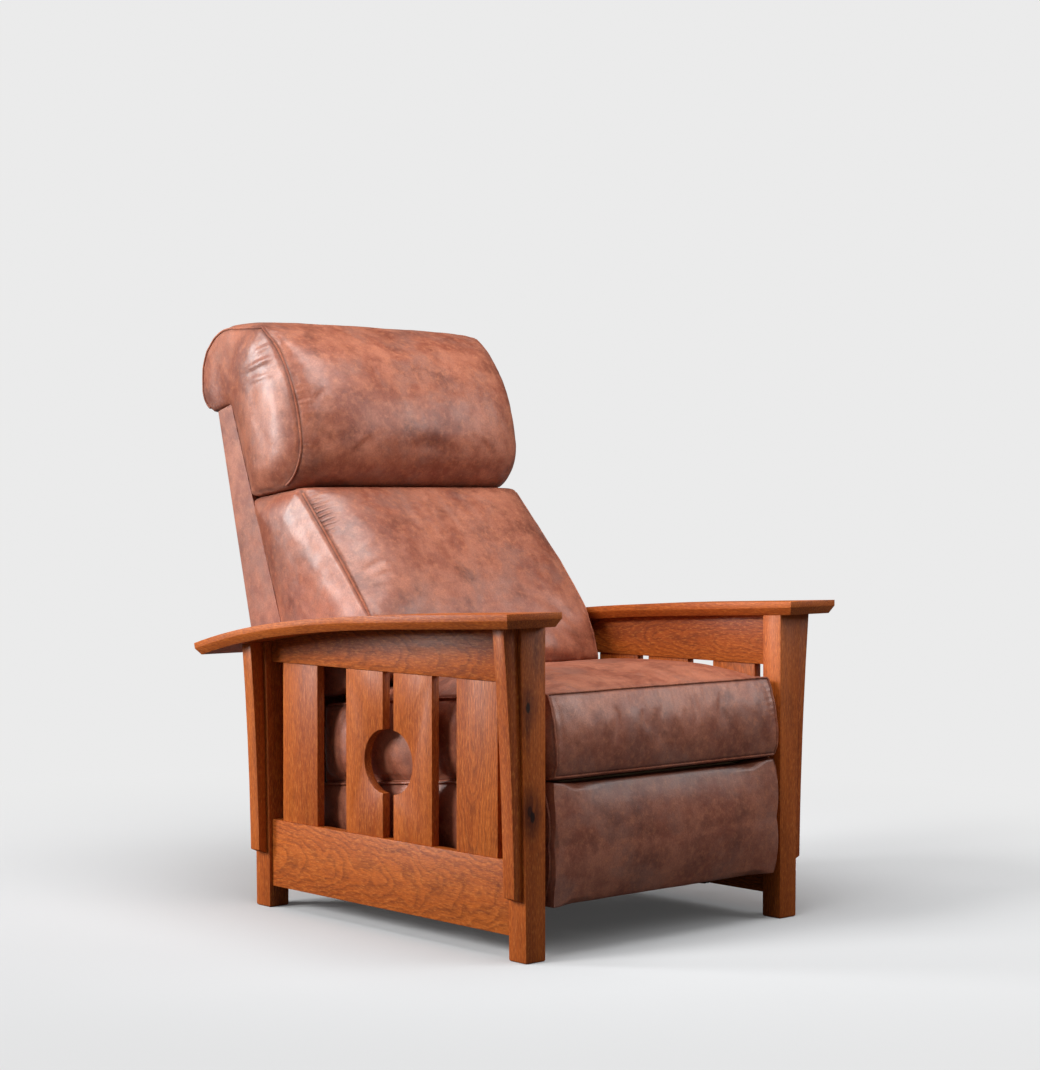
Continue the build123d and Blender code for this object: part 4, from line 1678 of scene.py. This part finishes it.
@dataclass
class HiddenFrame:
    """Inner wood and straps of the seat, the back and the footrest."""

    wood: PlainWood = PlainWood()
    strap: WovenStrap = WovenStrap()

    def build(self, frame: dict) -> None:
        """Build the inner boards and the straps.

        Args:
            frame: The loaded frame.
        """
        grains = {Grain.ACROSS: (("seat_front_rail", "frame"), ("seat_rear_rail", "frame"),
                                 ("back_rails", "back"), ("footrest_board", "footrest")),
                  Grain.ALONG: (("left_seat_side_rail", "frame"), ("right_seat_side_rail", "frame")),
                  Grain.UP: (("left_back_stile", "back"), ("right_back_stile", "back"))}
        for grain, pieces in grains.items():
            material = self.wood.build("inner_wood_" + grain.name.lower(), grain)
            for node, body in pieces:
                PlainPiece(node, body, "inner_wood").build(frame, material)
        straps = self.strap.build("woven_strap")
        for node, body in (("seat_webbing", "frame"), ("back_webbing", "back")):
            PlainPiece(node, body, "webbing", 0.0).build(frame, straps)


@dataclass
class Mechanism:
    """Steel plates, links, brackets, tube and screws."""

    paint: BlackSteel = BlackSteel()
    zinc: ZincScrew = ZincScrew()

    def build(self, frame: dict) -> None:
        """Build the steel pieces.

        Args:
            frame: The loaded frame.
        """
        black = self.paint.build("black_steel")
        bright = self.zinc.build("zinc")
        paired = (("side_plate", "frame"), ("main_link", "main_links"), ("guide_link", "guide_links"),
                  ("lift_link", "lift_links"), ("tilt_link", "tilt_links"), ("foot_bracket", "footrest"),
                  ("back_bracket", "back"))
        for kind, body in paired:
            for side, _ in SIDES:
                PlainPiece(side + kind, body, "steel", 0.0004).build(frame, black)
        PlainPiece("torque_tube", "main_links", "steel", 0.0004).build(frame, black)
        for node, body in (("plate_screws", "frame"), ("back_screws", "back")):
            PlainPiece(node, body, "steel", 0.0005).build(frame, bright)


@dataclass(frozen=True)
class SoftBox:
    """A soft light: where it hangs, how wide and high it is, and its power in watts."""

    name: str
    place: Triple
    wide: float
    high: float
    power: float


@dataclass
class Studio:
    """Pale floor, soft light and the camera at the photograph's place."""

    backdrop: float = 0.83
    floor_albedo: float = 0.64
    bounce_albedo: float = 0.11
    sky: float = 0.155
    sheen_sky: float = 0.06
    floor_radius: float = 14.0
    warm_white: Triple = (1.0, 0.99, 0.975)
    cool_share: Triple = (0.985, 1.0, 1.02)
    sun_strength: float = 1.75
    sun_degrees: float = 18.0
    sun_from: Triple = (-3.0, 0.9, 1.9)
    sun_to: Triple = (0.0, 0.0, 0.1)
    boxes_to: Triple = (0.0, 0.0, 0.6)
    boxes: tuple[SoftBox, ...] = (SoftBox("left_box", (-2.95, 2.4, 1.6), 0.8, 1.8, 112.0),
                                  SoftBox("top_box", (-0.30, -0.58, 2.4), 1.5, 1.5, 45.0),
                                  SoftBox("right_box", (1.9, -2.1, 1.9), 1.6, 1.6, 27.0))

    def build(self) -> None:
        """Set up floor, light and camera."""
        self.add_floor()
        self.add_sky()
        self.add_lights()
        self.add_camera()

    def add_floor(self) -> None:
        """Lay the floor, which fades into the backdrop away from the chair."""
        bpy.ops.mesh.primitive_circle_add(vertices=96, radius=self.floor_radius, fill_type="NGON")
        floor = bpy.context.view_layer.objects.active
        floor.name = "floor"
        material, tree = new_material("pale_floor")
        n = Nodes(tree)
        seen = n.add("LightPath").outputs["Is Camera Ray"]
        pale = tuple(self.floor_albedo * share for share in self.cool_share)
        tone = n.mix("MIX", seen, (self.bounce_albedo,) * 3, pale)
        diffuse = n.add("BsdfDiffuse", Color=tone, Roughness=0.6)
        glow = n.add("Emission", Color=(self.backdrop, self.backdrop, self.backdrop, 1.0), Strength=1.0)
        reach = n.add("VectorMath", operation="LENGTH")
        n.put(reach.inputs[0], n.mapped())
        far = n.spread(reach.outputs["Value"], 0.35, 2.3, 0.05, 1.0)
        n.blended(n.times(far, seen), diffuse, glow, "OutputMaterial")
        dress(floor, material)

    def add_sky(self) -> None:
        """Hang even light all round, seen by the camera as the backdrop."""
        world = bpy.data.worlds.new("studio")
        bpy.context.scene.world = world
        world.use_nodes = True
        world.node_tree.nodes.clear()
        n = Nodes(world.node_tree)
        rays = n.add("LightPath").outputs
        glow = n.plus(self.sky, n.times(rays["Is Glossy Ray"], self.sheen_sky - self.sky))
        dim = n.add("Background", Color=(*self.warm_white, 1.0), Strength=glow)
        shown = n.add("Background", Color=(self.backdrop, self.backdrop, self.backdrop, 1.0), Strength=1.0)
        n.blended(rays["Is Camera Ray"], dim, shown, "OutputWorld")

    def add_lights(self) -> None:
        """Add a broad sun from the left and soft boxes for the sheen of the leather."""
        sun = bpy.data.lights.new("key", "SUN")
        sun.energy = self.sun_strength
        sun.angle = math.radians(self.sun_degrees)
        sun.color = self.warm_white
        self.hang(sun, self.sun_from, self.turn_to(self.sun_from, self.sun_to))
        for box in self.boxes:
            light = bpy.data.lights.new(box.name, "AREA")
            light.shape = "RECTANGLE"
            light.size = box.wide
            light.size_y = box.high
            light.energy = box.power
            self.hang(light, box.place, self.turn_to(box.place, self.boxes_to))

    def add_camera(self) -> None:
        """Put the camera at the place, the turn and the lens of the photograph."""
        lens = bpy.data.cameras.new("photo_camera")
        lens.sensor_width = SENSOR
        lens.lens = SENSOR * FOCAL_PIXELS / PHOTO_HEIGHT
        lens.clip_end = 60.0
        camera = self.hang(lens, CAMERA_SPOT, (math.pi / 2 - CAMERA_TILT, 0.0, CAMERA_TURN))
        bpy.context.scene.camera = camera
        bpy.context.scene.view_settings.view_transform = "Standard"

    def turn_to(self, place: Triple, target: Triple) -> Euler:
        """Turn of something at a place that looks at a target."""
        return (Vector(target) - Vector(place)).to_track_quat("-Z", "Y").to_euler()

    def hang(self, data: bpy.types.ID, place: Triple, turn: Euler | Triple) -> bpy.types.Object:
        """Put a lamp or a camera in the scene.

        Args:
            data: The lamp or the camera.
            place: Where it goes.
            turn: How it is turned.

        Returns:
            The object that holds it.
        """
        holder = bpy.data.objects.new(data.name, data)
        bpy.context.scene.collection.objects.link(holder)
        holder.location = place
        holder.rotation_euler = turn
        return holder


def main() -> None:
    """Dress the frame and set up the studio."""
    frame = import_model()
    for part in (OakFrame(), Upholstery(), HiddenFrame(), Mechanism()):
        part.build(frame)
        LOG.info("%s is done", type(part).__name__)
    Studio().build()


if __name__ == "__main__":
    main()
